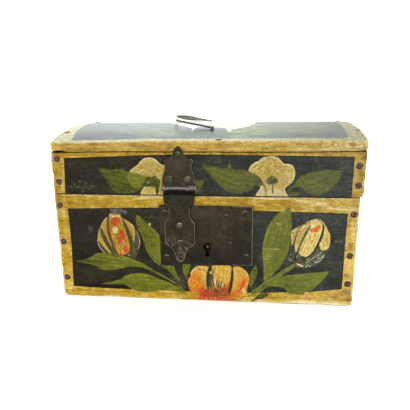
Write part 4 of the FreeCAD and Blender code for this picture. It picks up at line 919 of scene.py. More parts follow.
def make_paint(name, spec, top=False):
    g = Graph(name)
    P = g.p
    A = g.attr
    tone = A("tone")

    def old(c, k):
        """Paint darkened by the dim field: painted shade towards the lid on the front, even darkening elsewhere."""
        return g.mix(g.mul(A("dim"), k), c, lin(20, 13, 4))

    # wandering brush edges
    wob = g.add(g.mul(g.sub(g.noise(P, 3.2, 2, 0.6, seed=1), 0.5), 1.1),
                g.mul(g.sub(g.noise(P, 0.9, 1, 0.5, seed=2), 0.5), 0.5))
    wob2 = g.mul(g.sub(g.noise(P, 1.6, 2, 0.6, seed=3), 0.5), 1.0)
    streak = g.noise(P, 1.0, 3, 0.6, 0.3, (0.10, 0.30, 0.64), 4)
    dash = g.noise(P, 1.0, 2, 0.6, 0.2, (0.34, 1.0, 1.05), 21)
    spot = g.noise(P, 2.6, 2, 0.55, 0.4, None, 22)
    grain = g.noise(P, 1.0, 3, 0.65, 0.2, (0.022, 0.5, 0.85), 5)
    blot = g.noise(P, 16.0, 3, 0.6, 0.5, None, 6)
    fine = g.noise(P, 0.95, 2, 0.6, 0.0, None, 7)
    fine2 = g.noise(P, 1.7, 2, 0.65, 0.3, (0.6, 1.0, 1.3), 8)
    mid = g.noise(P, 5.0, 3, 0.6, 0.4, None, 9)

    def spread(parts, gain, shift_by=None):
        """Weighted sum of noises, widened about one half."""
        acc = None
        for w, n in parts:
            t = g.mul(n, w)
            acc = t if acc is None else g.add(acc, t)
        acc = g.add(g.mul(g.sub(acc, 0.5), gain), 0.5)
        return g.add(acc, shift_by) if shift_by is not None else acc

    # ochre border
    yellow = g.ramp(spread(((0.34, streak), (0.24, mid), (0.14, blot), (0.28, fine2)), 2.2, g.mul(tone, 0.30)),
                    [(0.12, lin(82, 56, 11)), (0.32, lin(146, 107, 19)), (0.48, lin(182, 142, 32)), (0.60, lin(199, 163, 60)), (0.74, lin(220, 194, 122)), (0.92, lin(240, 225, 186))])
    yellow = g.mix(g.step(g.add(fine, g.mul(tone, 0.03)), 0.60, 0.74, 0.0, 0.6), yellow, lin(226, 204, 142))
    yellow = g.mix(g.step(fine2, 0.58, 0.72, 0.0, 0.65), yellow, lin(104, 72, 14))
    yellow = g.mix(g.step(g.noise(P, 1.3, 1, 0.5, 0.0, None, 19), 0.62, 0.72, 0.0, 0.6), yellow, lin(86, 66, 18))
    yellow = g.mix(g.step(g.x, 50.0, 135.0, 0.0, 0.16), yellow, lin(190, 170, 132))
    yellow = g.mix(g.step(g.x, -30.0, 20.0, 0.16, 0.0), yellow, lin(176, 133, 12))
    yellow = old(yellow, 1.0)
    if top:
        rough_end = g.step(g.x, 70.0, 145.0)
        yellow = g.mix(g.mul(rough_end, g.step(spot, 0.54, 0.66, 0.0, 0.6)), yellow, lin(214, 196, 148))
        yellow = g.mix(g.mul(rough_end, g.step(fine2, 0.54, 0.64, 0.0, 0.7)), yellow, lin(88, 70, 36))
        # the border of the upper face is painted pale grey, bleached paint with a painted reflection of the bright room
        # in it, olive and mottled towards the right end
        pale = g.ramp(spread(((0.4, fine2), (0.3, fine), (0.3, mid)), 1.8), [(0.25, lin(118, 108, 76)), (0.45, lin(164, 154, 122)), (0.6, lin(186, 179, 152)), (0.8, lin(210, 206, 190))])
        pale = g.mix(g.mul(g.step(g.x, 30.0, 146.0), g.step(fine2, 0.38, 0.60, 0.25, 0.9)), pale, lin(94, 86, 58))
        pale = g.mix(g.mul(g.step(g.x, 90.0, 150.0), g.step(spot, 0.56, 0.66, 0.0, 0.8)), pale, lin(62, 50, 36))
        yellow = g.mix(g.mul(g.step(g.y, -86.5, -84.8, 0.0, 0.85), g.step(g.z, 160.5, 162.5)), yellow, pale)

    # blue-black panel
    dmix = spread(((0.32, grain), (0.34, blot), (0.34, fine2)), 1.5, g.add(g.mul(tone, 0.30), g.mul(g.x, 0.0005)))
    dark = g.ramp(dmix, [(0.16, lin(12, 9, 6)), (0.40, lin(27, 23, 15)), (0.54, lin(42, 36, 23)), (0.70, lin(64, 57, 40)), (0.90, lin(98, 90, 70))])
    # the right part of the panel is cooler: the paint's blue tone together with a painted sheen in place of the room's
    # reflection
    blue_and_sheen = g.ramp(dmix, [(0.16, lin(12, 12, 10)), (0.40, lin(28, 30, 26)), (0.54, lin(43, 45, 39)), (0.70, lin(64, 66, 58)), (0.90, lin(97, 98, 88))])
    dark = g.mix(g.step(g.x, -80.0, 60.0), dark, blue_and_sheen)
    dark = g.mix(g.mul(g.step(mid, 0.52, 0.78, 0.0, 0.45), g.step(g.x, -110.0, 70.0, 0.2, 1.0)), dark, lin(27, 34, 34))
    dark = g.mix(g.mul(g.step(g.noise(P, 9.0, 2, 0.6, 0.4, None, 18), 0.56, 0.72, 0.0, 0.4), g.step(g.x, -60.0, 80.0, 1.0, 0.4)), dark, lin(58, 42, 28))
    m_pan = g.ins(g.add(A("pan"), g.mul(wob, 2.2 if top else 0.4)), 1.4 if top else 0.3)
    col = g.mix(m_pan, yellow, dark)
    # the panel was outlined in black, the border again in light ochre
    col = g.mix(g.mul(m_pan, g.step(A("pan"), -1.5, -0.2, 0.0, 0.55)), col, lin(10, 9, 8))
    rim_y = g.mul(g.inv(m_pan), g.step(A("pan"), 0.2, 1.5, 1.0, 0.0))
    col = g.mix(g.mul(rim_y, g.step(mid, 0.46, 0.66, 0.0, 0.5)), col, old(lin(216, 188, 112), 0.9))

    # cream flowers
    cream = g.ramp(spread(((0.24, dash), (0.16, fine), (0.40, spot), (0.20, fine2)), 1.6, g.mul(tone, 0.26)),
                   [(0.14, lin(128, 92, 30)), (0.36, lin(168, 134, 54)), (0.52, lin(191, 162, 82)), (0.68, lin(214, 193, 130)), (0.88, lin(240, 229, 196))])
    cream = g.mix(g.step(g.noise(P, 3.4, 2, 0.6, 0.3, None, 23), 0.58, 0.72, 0.0, 0.35), cream, lin(212, 164, 112))
    cream = g.mix(g.mul(g.step(g.x, 10.0, 40.0), g.step(dash, 0.55, 0.68, 0.0, 0.55)), cream, lin(222, 202, 158))
    cream = g.mix(g.mul(g.step(g.x, 10.0, 40.0), g.step(dash, 0.34, 0.46, 0.5, 0.0)), cream, lin(150, 118, 58))
    cream = g.mix(g.mul(g.step(g.x, 10.0, 40.0), g.step(g.z, 112.0, 126.0, 0.4, 0.0)), cream, lin(210, 190, 152))
    cream = old(cream, 1.14)
    m_cream = g.ins(g.add(A("cream"), g.mul(wob, 0.5)), 0.35)
    col = g.mix(m_cream, col, cream)
    rimc = g.mul(m_cream, g.step(A("cream"), -1.6, -0.3))
    col = g.mix(g.mul(rimc, g.step(mid, 0.38, 0.60, 0.25, 0.85)), col, old(lin(228, 210, 158), 0.6))

    # leaves with strokes along them
    sv = g.vec(A("su"), g.mul(A("sw"), 8.0), g.mul(A("lv"), 40.0))
    lst = g.noise(sv, 1.0, 3, 0.6, 0.3, (0.06, 0.9, 1.0), 11)
    lgrade = g.add(g.add(A("lv"), g.mul(g.sub(lst, 0.5), 0.8)), g.mul(g.sub(mid, 0.5), 0.5))
    lgrade = g.add(lgrade, g.add(g.add(g.mul(g.sub(grain, 0.5), 0.55), g.mul(g.sub(dash, 0.5), 0.45)), g.add(g.mul(g.sub(spot, 0.5), 0.4), g.mul(g.sub(blot, 0.5), 0.5))))
    lgrade = g.add(g.add(lgrade, g.mul(A("sw"), 0.10)), g.add(g.mul(tone, 0.25), g.mul(g.sub(fine2, 0.5), 0.35)))
    leaf = g.ramp(lgrade, [(0.0, lin(25, 34, 8)), (0.25, lin(55, 61, 12)), (0.5, lin(89, 91, 19)), (0.75, lin(112, 112, 28)), (1.0, lin(144, 142, 56))])
    leaf = g.mix(g.step(fine, 0.62, 0.78, 0.0, 0.4), leaf, lin(146, 144, 84))
    leaf = g.mix(g.step(g.x, 0.0, 130.0, 0.0, 0.16), leaf, lin(104, 116, 96))
    leaf = g.mix(g.mul(g.step(g.z, 106.0, 112.0, 0.0, 0.2), g.step(g.x, -25.0, 30.0)), leaf, lin(100, 94, 74))
    leaf = old(leaf, 0.9)
    dl = g.add(A("leaf"), g.mul(wob, 0.6))
    m_leaf = g.ins(dl, 0.55)
    if top:
        m_leaf = g.mul(m_leaf, 0.55)
    else:
        # the lid's leaves fade out at their edges
        m_leaf = g.mul(m_leaf, g.mixf(g.mul(g.step(g.z, 106.0, 111.0), g.mul(g.inv(m_cream), g.step(A("leaf"), -2.2, -0.1, 0.0, 0.5))), 1.0, 0.0))
    col = g.mix(m_leaf, col, leaf)
    if top:
        # bands of yellow-green and blue-grey over the top panel: the leaves' paint under a painted reflection of the
        # bright room
        tint = g.noise(P, 1.0, 2, 0.6, 0.6, (0.05, 0.12, 0.12), 34)
        for x0, x1, x2, x3, k, c in ((18.0, 34.0, 46.0, 68.0, 0.32, lin(164, 172, 84)), (-70.0, -54.0, -34.0, -14.0, 0.26, lin(136, 152, 98)),
                                     (52.0, 72.0, 112.0, 136.0, 0.16, lin(118, 122, 68)), (-100.0, -86.0, -70.0, -58.0, 0.28, lin(88, 110, 130))):
            m = g.mul(g.mul(g.step(g.x, x0, x1), g.step(g.x, x2, x3, 1.0, 0.0)), g.step(tint, 0.40, 0.58, 0.15, 1.0))
            col = g.mix(g.mul(g.mul(m, k), g.mul(m_pan, g.inv(m_cream))), col, c)
    ledge = g.mul(m_leaf, g.step(A("leaf"), -1.7, -0.2))
    col = g.mix(g.mul(ledge, g.step(mid, 0.40, 0.64, 0.0, 0.28)), col, lin(126, 124, 58))

    # tulips
    tv = g.vec(g.mul(A("sw"), 14.0), A("su"), 0.0)
    tst = g.noise(tv, 1.0, 3, 0.6, 0.9, (0.62, 0.20, 1.0), 12)
    hull = g.ramp(g.add(g.mul(tst, 0.7), g.mul(mid, 0.3)), [(0.36, lin(20, 26, 18)), (0.52, lin(44, 48, 30)), (0.66, lin(90, 94, 72))])
    hull = g.mix(g.mul(A("pale"), g.step(fine2, 0.42, 0.62, 0.05, 0.5)), hull, lin(100, 94, 84))
    olive = g.step(g.x, -60.0, -44.0, 1.0, 0.0)
    warm = g.step(g.x, 50.0, 70.0, 1.0, 0.0)
    hull = g.mix(g.mul(warm, 0.35), hull, lin(64, 58, 24))
    hull = g.mix(g.mul(olive, 0.4), hull, lin(82, 69, 36))
    m_hull = g.ins(g.add(A("hull"), g.mul(wob, 0.6)), 0.4)
    col = g.mix(m_hull, col, hull)
    petal = g.ramp(spread(((0.5, tst), (0.25, fine2), (0.25, fine)), 1.7, g.mul(tone, 0.2)),
                   [(0.20, lin(118, 76, 16)), (0.40, lin(176, 128, 38)), (0.55, lin(197, 157, 64)), (0.70, lin(213, 186, 108)), (0.88, lin(232, 220, 176))])
    ivory = g.ramp(spread(((0.35, tst), (0.35, fine2), (0.3, fine)), 2.2, g.mul(tone, 0.3)),
                   [(0.20, lin(132, 98, 44)), (0.40, lin(190, 160, 90)), (0.55, lin(214, 186, 106)), (0.70, lin(228, 206, 136)), (0.88, lin(240, 230, 194))])
    petal = g.mix(A("pale"), petal, ivory)
    petal = g.mix(g.mul(olive, 0.28), petal, lin(160, 132, 34))
    petal = old(petal, 0.9)
    m_petal = g.ins(g.add(A("petal"), g.mul(wob2, 0.9)), 0.35)
    col = g.mix(m_petal, col, petal)
    vst = g.noise(P, 1.0, 2, 0.6, 0.4, (0.62, 0.6, 0.14), 31)
    brushy = g.add(g.add(g.mul(g.sub(tst, 0.5), 0.9), g.mul(g.sub(fine2, 0.5), 0.6)), g.mul(g.sub(vst, 0.5), 0.8))
    m_or = g.mul(g.ins(g.add(A("orange"), g.mul(wob2, 1.6)), 1.1), 0.85)
    m_or = g.mx(m_or, g.mul(g.mx(m_petal, g.mul(m_hull, 0.4)), g.step(g.add(A("ow"), brushy), 0.06, 0.72, 0.0, 0.95)))
    orange = old(g.ramp(spread(((0.5, tst), (0.5, fine2)), 1.7), [(0.22, lin(172, 62, 10)), (0.5, lin(208, 116, 26)), (0.78, lin(218, 164, 68))]), 0.6)
    orange = g.mix(g.step(spot, 0.53, 0.67, 0.0, 0.45), orange, old(lin(206, 152, 54), 0.6))
    orange = g.mix(g.step(mid, 0.50, 0.66, 0.0, 0.55), orange, old(lin(170, 70, 14), 0.6))
    col = g.mix(m_or, col, orange)
    m_red = g.mul(g.ins(g.add(A("red"), g.mul(wob2, 1.5)), 0.7), g.step(fine2, 0.34, 0.5, 0.45, 0.95))
    m_red = g.mx(m_red, g.mul(m_hull, g.step(g.add(A("rw"), brushy), 0.10, 0.62, 0.0, 0.95)))
    red = old(g.ramp(spread(((0.4, tst), (0.3, fine), (0.3, fine2)), 1.8), [(0.20, lin(146, 26, 8)), (0.5, lin(202, 60, 16)), (0.80, lin(220, 120, 62))]), 0.75)
    red = g.mix(g.step(vst, 0.52, 0.66, 0.0, 0.5), red, lin(146, 66, 38))
    red = g.mix(g.step(spot, 0.53, 0.67, 0.0, 0.45), red, old(lin(222, 116, 76), 0.75))
    red = g.mix(g.mul(olive, g.step(fine2, 0.36, 0.56, 0.75, 0.25)), red, lin(168, 40, 4))
    # dull mauve-brown between the stripes of the middle tulip
    mauve = g.mul(g.mul(g.step(g.x, 7.0, 10.0), g.step(g.x, 25.0, 28.0, 1.0, 0.0)), g.mul(g.step(g.z, 4.2, 5.6), g.step(g.z, 13.0, 17.0, 1.0, 0.0)))
    mst = spread(((0.5, vst), (0.3, fine2), (0.2, fine)), 2.2)
    red = g.mix(g.mul(mauve, 0.8), red, g.ramp(mst, [(0.22, lin(62, 32, 18)), (0.42, lin(110, 55, 36)), (0.58, lin(146, 72, 44)), (0.80, lin(184, 106, 72))]))
    low = g.step(g.z, 3.2, 4.4, 1.0, 0.0)
    red = g.mix(g.mul(low, 0.7), red, g.ramp(mst, [(0.22, lin(140, 78, 44)), (0.48, lin(182, 72, 42)), (0.80, lin(214, 140, 98))]))
    col = g.mix(m_red, col, red)
    m_dk = g.ins(g.add(A("dark"), g.mul(wob2, 0.35)), 0.3)
    dkc = g.ramp(fine2, [(0.35, lin(22, 24, 16)), (0.65, lin(54, 56, 36))])
    dkc = g.mix(g.mul(olive, 0.6), dkc, g.ramp(fine2, [(0.35, lin(58, 46, 18)), (0.65, lin(92, 80, 46))]))
    col = g.mix(g.mul(m_dk, 0.92), col, dkc)
    m_wh = g.ins(g.add(A("white"), g.mul(wob2, 0.35)), 0.3)
    col = g.mix(g.mul(m_wh, g.step(fine, 0.32, 0.56, 0.40, 0.88)), col, old(g.ramp(fine, [(0.35, lin(180, 174, 146)), (0.65, lin(222, 219, 198))] if top else [(0.35, lin(190, 168, 98)), (0.65, lin(234, 222, 170))]), 0.4))

    # grey-blue smears, scuffs and scratches
    m_hz = g.mul(g.ins(g.add(A("haze"), g.mul(wob2, 1.2)), 0.9), g.step(fine2, 0.40, 0.60, 0.10, 0.7))
    hzc = g.ramp(fine, [(0.35, lin(66, 72, 70)), (0.66, lin(156, 162, 156))])
    hzc = g.mix(warm, hzc, g.ramp(fine, [(0.35, lin(74, 68, 62)), (0.66, lin(146, 138, 128))]))
    col = g.mix(m_hz, col, hzc)
    sc = g.mul(g.ins(A("scuff"), 1.6), g.step(fine2, 0.52, 0.66))
    col = g.mix(g.mul(sc, 0.5), col, lin(170, 170, 160))
    scr = g.mul(g.step(g.noise(P, 1.0, 2, 0.5, 1.2, (0.05, 0.6, 1.3), 14), 0.70, 0.76), 0.22)
    col = g.mix(scr, col, lin(150, 136, 96))

    # craquelure
    crack = g.step(g.cells(g.vec(g.add(g.x, g.mul(wob, 1.5)), g.y, g.add(g.z, g.mul(wob2, 1.4))), 4.2, stretch=(0.6, 1.0, 1.0)), 0.0, 0.05, 1.0, 0.0)
    crack = g.mul(crack, g.step(blot, 0.48, 0.72))
    col = g.mix(g.mul(crack, 0.25), col, lin(40, 30, 16))

    # nail rust halo and chipped rings
    nd = g.add(A("nail"), g.mul(wob2, 1.3))
    chipn = g.mul(g.step(nd, 3.7, 5.0, 1.0, 0.0), g.step(g.noise(P, 2.4, 2, 0.6, seed=15), 0.42, 0.56))
    col = g.mix(g.mul(chipn, 0.6), col, old(g.ramp(fine, [(0.35, lin(200, 172, 110)), (0.65, lin(230, 214, 170))]), 0.6))
    col = g.mix(g.mul(g.step(nd, 2.7, 4.1, 0.9, 0.0), g.step(spot, 0.34, 0.56, 0.45, 1.0)), col, lin(54, 33, 20))

    # worn edges: cream ground first, then wood
    wear = g.add(A("edge"), g.mul(g.sub(g.noise(P, 4.5, 3, 0.65, 0.5, None, 16), 0.5), 5.2))
    wear = g.add(wear, g.mul(g.sub(fine, 0.5), 1.6))
    m_w1 = g.step(wear, 0.0, 1.3, 1.0, 0.0)
    m_w2 = g.step(wear, -1.5, -0.5, 1.0, 0.0)
    col = g.mix(g.mul(m_w1, 0.85), col, old(g.ramp(fine2, [(0.35, lin(192, 160, 92)), (0.65, lin(230, 212, 166))]), 0.6))
    wood, wgrain, wpore = wood_color(g, 20)
    col = g.mix(m_w2, col, wood)
    # dark lines along the joints: dirt in the joints, and painted shade under the top board and along the lid's mouth
    joint_dirt_and_shade = g.step(g.add(A("seam"), g.mul(wob, 0.7)), 0.35, 1.25, 0.95, 0.0)
    col = g.mix(joint_dirt_and_shade, col, lin(24, 16, 8))

    # inner faces are bare wood
    bare = g.step(g.add(A("bare"), g.mul(g.sub(fine2, 0.5), 0.5)), 0.4, 0.6)
    col = g.mix(bare, col, wood)

    rough = g.mixf(m_pan, g.mixf(fine, 0.55, 0.75) if top else g.mixf(fine, 0.34, 0.54), g.mixf(mid, 0.47, 0.61) if top else g.mixf(mid, 0.22, 0.38))
    rough = g.mixf(g.mx(m_w1, chipn), rough, 0.72)
    rough = g.mixf(bare, rough, 0.72)
    paintlift = g.add(g.mul(g.mx(g.mx(m_leaf, m_cream), g.mx(m_petal, m_hull)), 0.35), g.mul(tst, 0.12))
    paintlift = g.add(paintlift, g.mul(g.mx(m_wh, m_red), 0.25))
    h = g.add(g.add(g.mul(streak, 0.45), g.mul(grain, 0.35)), g.add(g.mul(fine, 0.16), paintlift))
    h = g.sub(h, g.mul(g.mx(g.mul(m_w1, 0.6), chipn), 0.55))
    h = g.sub(h, g.mul(crack, 0.5))
    hw = g.sub(g.mul(wgrain, 0.8), g.mul(wpore, 0.4))
    h = g.mixf(bare, h, hw)
    return g.shade(col, rough, g.bump(h, 0.24, 0.7), spec=spec)


def make_wood():
    g = Graph("bare_beech")
    col, grain, pore = wood_color(g, 40)
    dirt = g.noise(g.p, 22.0, 4, 0.65, 0.4, None, 44)
    col = g.mix(g.step(dirt, 0.5, 0.72, 0.0, 0.5), col, lin(84, 62, 42))
    h = g.sub(g.mul(grain, 0.8), g.mul(pore, 0.4))
    return g.shade(col, g.mixf(dirt, 0.58, 0.8), g.bump(h, 0.25, 0.7))


def make_iron(name, tint=1.0, rust=0.25, seed=0.0, edge=0.7, low=None, grey=False, dome=0.0, tip=None, bar=None):
    """Blackened iron: brown and mottled, convex edges lighter from wear and a painted highlight, hollows painted dark
    as shade;
    low = height below which it stays darker; grey = light grey for handled iron with a painted highlight, darker at the
    near side; dome = painted highlight on the upper and painted shade on the lower sides of heads; tip = heights
    between which the worn point is painted lighter, with a painted sheen; bar = height of a hinge barrel whose upper
    side gets a painted highlight."""
    g = Graph(name)
    big = g.noise(g.p, 15.0, 3, 0.6, 0.6, None, 51 + seed)
    mid = g.noise(g.p, 3.0, 4, 0.65, 0.3, None, 52 + seed)
    fine = g.noise(g.p, 0.8, 2, 0.6, 0.0, None, 53 + seed)
    k = tint
    f = g.add(g.add(g.mul(big, 0.40), g.mul(mid, 0.32)), g.mul(fine, 0.28))
    if grey:
        # light grey for the bail: handled iron with a painted highlight, darker on the near side
        c = g.ramp(f, [(0.34, lin(96, 93, 88)), (0.47, lin(128, 125, 120)), (0.56, lin(148, 145, 140)), (0.70, lin(180, 177, 172))])
        c = g.mix(g.step(g.y, -46.0, -6.0, 0.8, 0.0), c, lin(58, 52, 40))
    else:
        c = g.ramp(f, [(0.34, lin(28 * k, 23 * k, 15 * k)), (0.47, lin(44 * k, 37 * k, 26 * k)), (0.56, lin(57 * k, 49 * k, 36 * k)), (0.70, lin(82 * k, 74 * k, 59 * k))])
    r = g.step(g.add(g.mul(mid, 0.5), g.mul(big, 0.5)), 0.50, 0.68, 0.0, rust)
    c = g.mix(r, c, g.ramp(fine, [(0.35, lin(62 * k, 40 * k, 26 * k)), (0.65, lin(90 * k, 62 * k, 42 * k))]))
    c = g.mix(g.step(fine, 0.62, 0.78, 0.0, 0.4), c, lin(22, 17, 13))
    if not grey:
        c = g.mix(g.step(g.add(g.mul(big, 0.5), g.mul(mid, 0.5)), 0.46, 0.60, 0.0, 0.4), c, lin(61 * k, 50 * k, 46 * k))
    if bar:
        # painted highlight along the upper side of the hinge barrel
        band = g.mul(g.step(g.z, bar - 1.0, bar + 0.6), g.step(g.z, bar + 2.4, bar + 3.6, 1.0, 0.0))
        c = g.mix(g.mul(band, g.step(g.add(g.attr("up"), g.mul(g.sub(mid, 0.5), 0.8)), -0.1, 0.5, 0.1, 0.75)), c, lin(150, 138, 132))
    if low:
        c = g.mix(g.step(g.z, low[0], low[1], 0.5, 0.0), c, lin(20, 15, 9))
    if tip:
        # the point painted lighter: wear with a painted sheen
        c = g.mix(g.mul(g.step(g.z, tip[0], tip[1], 0.75, 0.0), g.step(g.add(g.mul(mid, 0.7), g.mul(big, 0.3)), 0.46, 0.60, 0.05, 1.0)), c, lin(122, 106, 94))
    if edge:
        # convex edges lighter: wear and painted highlight
        e = g.step(g.add(g.attr("curv"), g.mul(g.sub(mid, 0.5), 0.35)), 0.25, 0.75)
        c = g.mix(g.mul(e, edge), c, g.ramp(fine, [(0.35, lin(112, 98, 80)), (0.65, lin(164, 152, 134))]))
        # hollows and creases painted dark as shade
        c = g.mix(g.step(g.attr("curv"), -0.9, -0.15, 0.75, 0.0), c, lin(18, 13, 9))
        c = g.mix(g.step(g.attr("curv"), -1.9, -1.1, 0.95, 0.0), c, lin(5, 4, 3))
    if dome:
        # painted highlight on the upper and painted shade on the lower sides of heads
        c = g.mix(g.step(g.add(g.attr("up"), g.mul(g.sub(mid, 0.5), 0.9)), 0.15, 0.7, 0.0, dome), c, lin(176, 164, 152))
        c = g.mix(g.step(g.add(g.attr("up"), g.mul(g.sub(mid, 0.5), 0.4)), -0.7, -0.05, dome, 0.0), c, lin(16, 11, 8))
    rough = g.mixf(mid, 0.34, 0.58)
    h = g.add(g.mul(mid, 0.6), g.mul(fine, 0.4))
    return g.shade(c, rough, g.bump(h, 0.14, 0.6), metal=0.3 if grey else 0.8, spec=0.35)


def make_nail():
    g = Graph("rusted_nail_iron")
    mid = g.noise(g.p, 1.8, 3, 0.65, 0.3, None, 61)
    fine = g.noise(g.p, 0.6, 2, 0.6, 0.0, None, 62)
    c = g.ramp(g.add(g.mul(g.sub(g.add(g.mul(mid, 0.65), g.mul(fine, 0.35)), 0.5), 1.35), 0.5), [(0.32, lin(24, 13, 8)), (0.46, lin(60, 37, 24)), (0.58, lin(94, 64, 45)), (0.72, lin(164, 134, 106))])
    # dark rims of the heads: painted shade in the hollows
    e = g.step(g.attr("curv"), -0.6, -0.1, 0.75, 0.0)
    c = g.mix(e, c, lin(26, 15, 10))
    # painted highlight on the upper and painted shade on the lower sides of the heads
    c = g.mix(g.step(g.add(g.attr("up"), g.mul(g.sub(mid, 0.5), 0.8)), 0.25, 0.8, 0.0, 0.5), c, lin(150, 120, 96))
    c = g.mix(g.step(g.attr("up"), -0.75, -0.1, 0.6, 0.0), c, lin(20, 11, 7))
    return g.shade(c, g.mixf(fine, 0.45, 0.75), g.bump(g.add(mid, g.mul(fine, 0.5)), 0.15, 0.7), metal=0.1, spec=0.2)


PAINT = make_paint("oil_paint_on_boards", 0.08)
TOP_COAT = make_paint("oil_paint_on_lid_top", 0.42, True)
WOOD = make_wood()
IRON = make_iron("wrought_iron")
LOCK = make_iron("lock_iron", 1.25, 0.5, 7.0, edge=0.0)
PLATE = make_iron("plate_iron", 0.95, 0.3, 3.0, 0.55, (46.0, 84.0))
STUD = make_iron("stud_iron", 0.85, 0.2, 5.0, 0.2, dome=0.45)
RIVET = make_iron("rivet_iron", 1.5, 0.35, 11.0, 0.3, dome=0.6)
PIN = make_iron("pin_iron", 1.6, 0.1, 9.0, edge=0.0)
STRAP = make_iron("strap_iron", 0.84, 0.3, 13.0, tip=(42.0, 78.0), bar=118.8)
HINGE = make_iron("hasp_hinge_iron", 0.95, bar=118.8)
BAIL = make_iron("bail_iron", 1.3, 0.10, 15.0, 0.3, grey=True)
NAIL = make_nail()
WORN = make_iron("worn_nail_iron", 2.3, 0.5, 19.0)

# --------------------------------------------------------------- boards
front_scuff = [(-129.0, 116.5, 1.6), (-124.0, 118.5, 1.2), (-119.0, 116.0, 1.5), (-112.0, 117.0, 1.6), (-127.0, 121.0, 1.0), (-121.0, 124.0, 0.9), (-115.0, 121.5, 1.0), (-109.0, 119.5, 1.1), (-132.0, 119.0, 0.8), (-54.0, 80.4, 0.8), (-106.0, 74.0, 0.8),
               (72.0, 85.0, 1.2), (130.0, 68.0, 1.0), (134.0, 66.5, 0.9), (118.0, 119.0, 1.0)]
FRONT_ART = dict(nails=FRONT_NAILS, cream=CREAM, leaf=LEAF, stem=STEM, hull=HULL, petal=PETAL, orange=ORANGE,
                 red=RED, dark=DARK, white=WHITE, scuff=front_scuff, strokes=list(STROKES.values()), haze=HAZE, patch=PATCH,
                 owash=ORANGE_WASH, rwash=RED_WASH)
for half, path in FLECK:
    FRONT_ART["strokes"].append({"white": [(half, path)]})


def front_paint(panel):
    def f(p):
        out = art(p[:, 0], p[:, 2], panel, **FRONT_ART)
        out["dim"] = lid_shade_and_dark_patches(p[:, 0], p[:, 2])
        out["pale"] = sstep(p[:, 0], 74.0, 82.0)
        return out
    return f


def moved(table, fn):
    return {k: [(half, [fn(*q) for q in pts]) for half, pts in rows] for k, rows in table.items()}


TUL = lambda x, z: (x - 15.5, z * 1.05 + 42.0)
END_ART = dict(
    hull=shift(only(HULL, "T2"), TUL), petal=shift(only(PETAL, "T2l", "T2c", "T2r"), TUL),
    owash=[(*TUL(*r[:2]), *r[2:]) for r in ORANGE_WASH], rwash=[(*TUL(*r[:2]), *r[2:]) for r in RED_WASH],
    dark=shift(only(DARK, "T2d1", "T2d2"), TUL),
    leaf={**shift(only(LEAF, "R1"), lambda x, z: (x - 57.0, (z - 24) * 0.72 + 18)),
          "R1m": shift(only(LEAF, "R1"), lambda x, z: (57.0 - x, (z - 24) * 0.72 + 18))["R1"],
          "R2": shift(only(LEAF, "R2"), lambda x, z: (x - 64.0, z + 2.0))["R2"],
          "R2m": shift(only(LEAF, "R2"), lambda x, z: (64.0 - x, z + 2.0))["R2"]},
    stem={"s": (0.55, 1.6, [(0, 12), (0.5, 26), (0, 42)])},
    strokes=[moved(STROKES["T2"], TUL)],
)
LID_END_ART = dict(
    cream=shift(only(CREAM, "F2"), lambda x, z: (x - 66.5, z)),
    leaf=shift(only(LEAF, "L3", "L4", "L4b", "G1"), lambda x, z: (x - 66.5, z)),
    stem=shift(only(STEM, "L3s", "G1s"), lambda x, z: (x - 66.5, z)),
)
END_PANEL = [(-74.0, 97.0), (0.0, 98.5), (74.5, 97.5), (73.5, 60.0), (74.5, 12.5), (0, 11.0), (-74.0, 12.0), (-73.5, 55.0)]
LID_END_PANEL = [(-74.0, 148.0), (-40.0, 151.5), (0.0, 153.0), (40.0, 151.5), (74.0, 148.0), (74.0, 104.0), (-74.0, 104.0)]
BACK_PANEL = [(-137.0, 97.5), (0.0, 98.5), (137.5, 97.0), (137.0, 12.0), (0.0, 11.0), (-137.5, 12.5)]
LID_BACK_PANEL = [(-136.0, 148.5), (0.0, 150.0), (139.0, 148.5), (139.0, 104.0), (-136.0, 104.0)]
BACK_NAILS = [(-144.0, 100.0), (-144.0, 60.0), (-144.0, 21.0), (144.0, 96.0), (144.0, 54.0), (144.0, 23.0), (-143.0, 146.0), (-143.0, 124.0), (146.0, 142.0), (146.0, 123.0)]
NO_NAILS = []


def face_paint(u_axis, panel, nails=NO_NAILS, flip=1.0, **motifs):
    def f(p):
        out = art(flip * p[:, u_axis], p[:, 2], panel, nails, **motifs)
        out["dim"] = np.full(len(p), 0.22)
        return out
    return f


def top_paint(p):
    x, y, z = p.T
    f = art(x, y, TOP_PANEL, TOP_NAILS, leaf=TOP_LEAF)
    f["white"] = union({"f": TOP_FLOWER}, x, y)
    front = y < -85.6
    t = art(x[front], z[front], LID_PANEL, NO_NAILS, patch=PATCH)["tone"]
    f["tone"][front] = t
    face = sstep(z - arc_z(np.clip(y, -87, 87), T_TOP), -2.6, -1.6)
    f["tone"] += 0.25 * face
    f["nail"] = np.where(face > 0.5, f["nail"], 20.0)
    f["dim"] = np.where(front, lid_shade_and_dark_patches(x, np.minimum(z, 161.0)), 0.15 * (1 - face))
    f["dark"] = np.minimum(f["dark"], np.linalg.norm(p - np.array([61.6, -87.0, 157.3]), axis=1) - 0.8)
    return f


FX, FY, FZ = 0.70, 1.5, 0.70
OUT_L, OUT_R = (1, 0.6, 0), (-1, 0.6, 0)

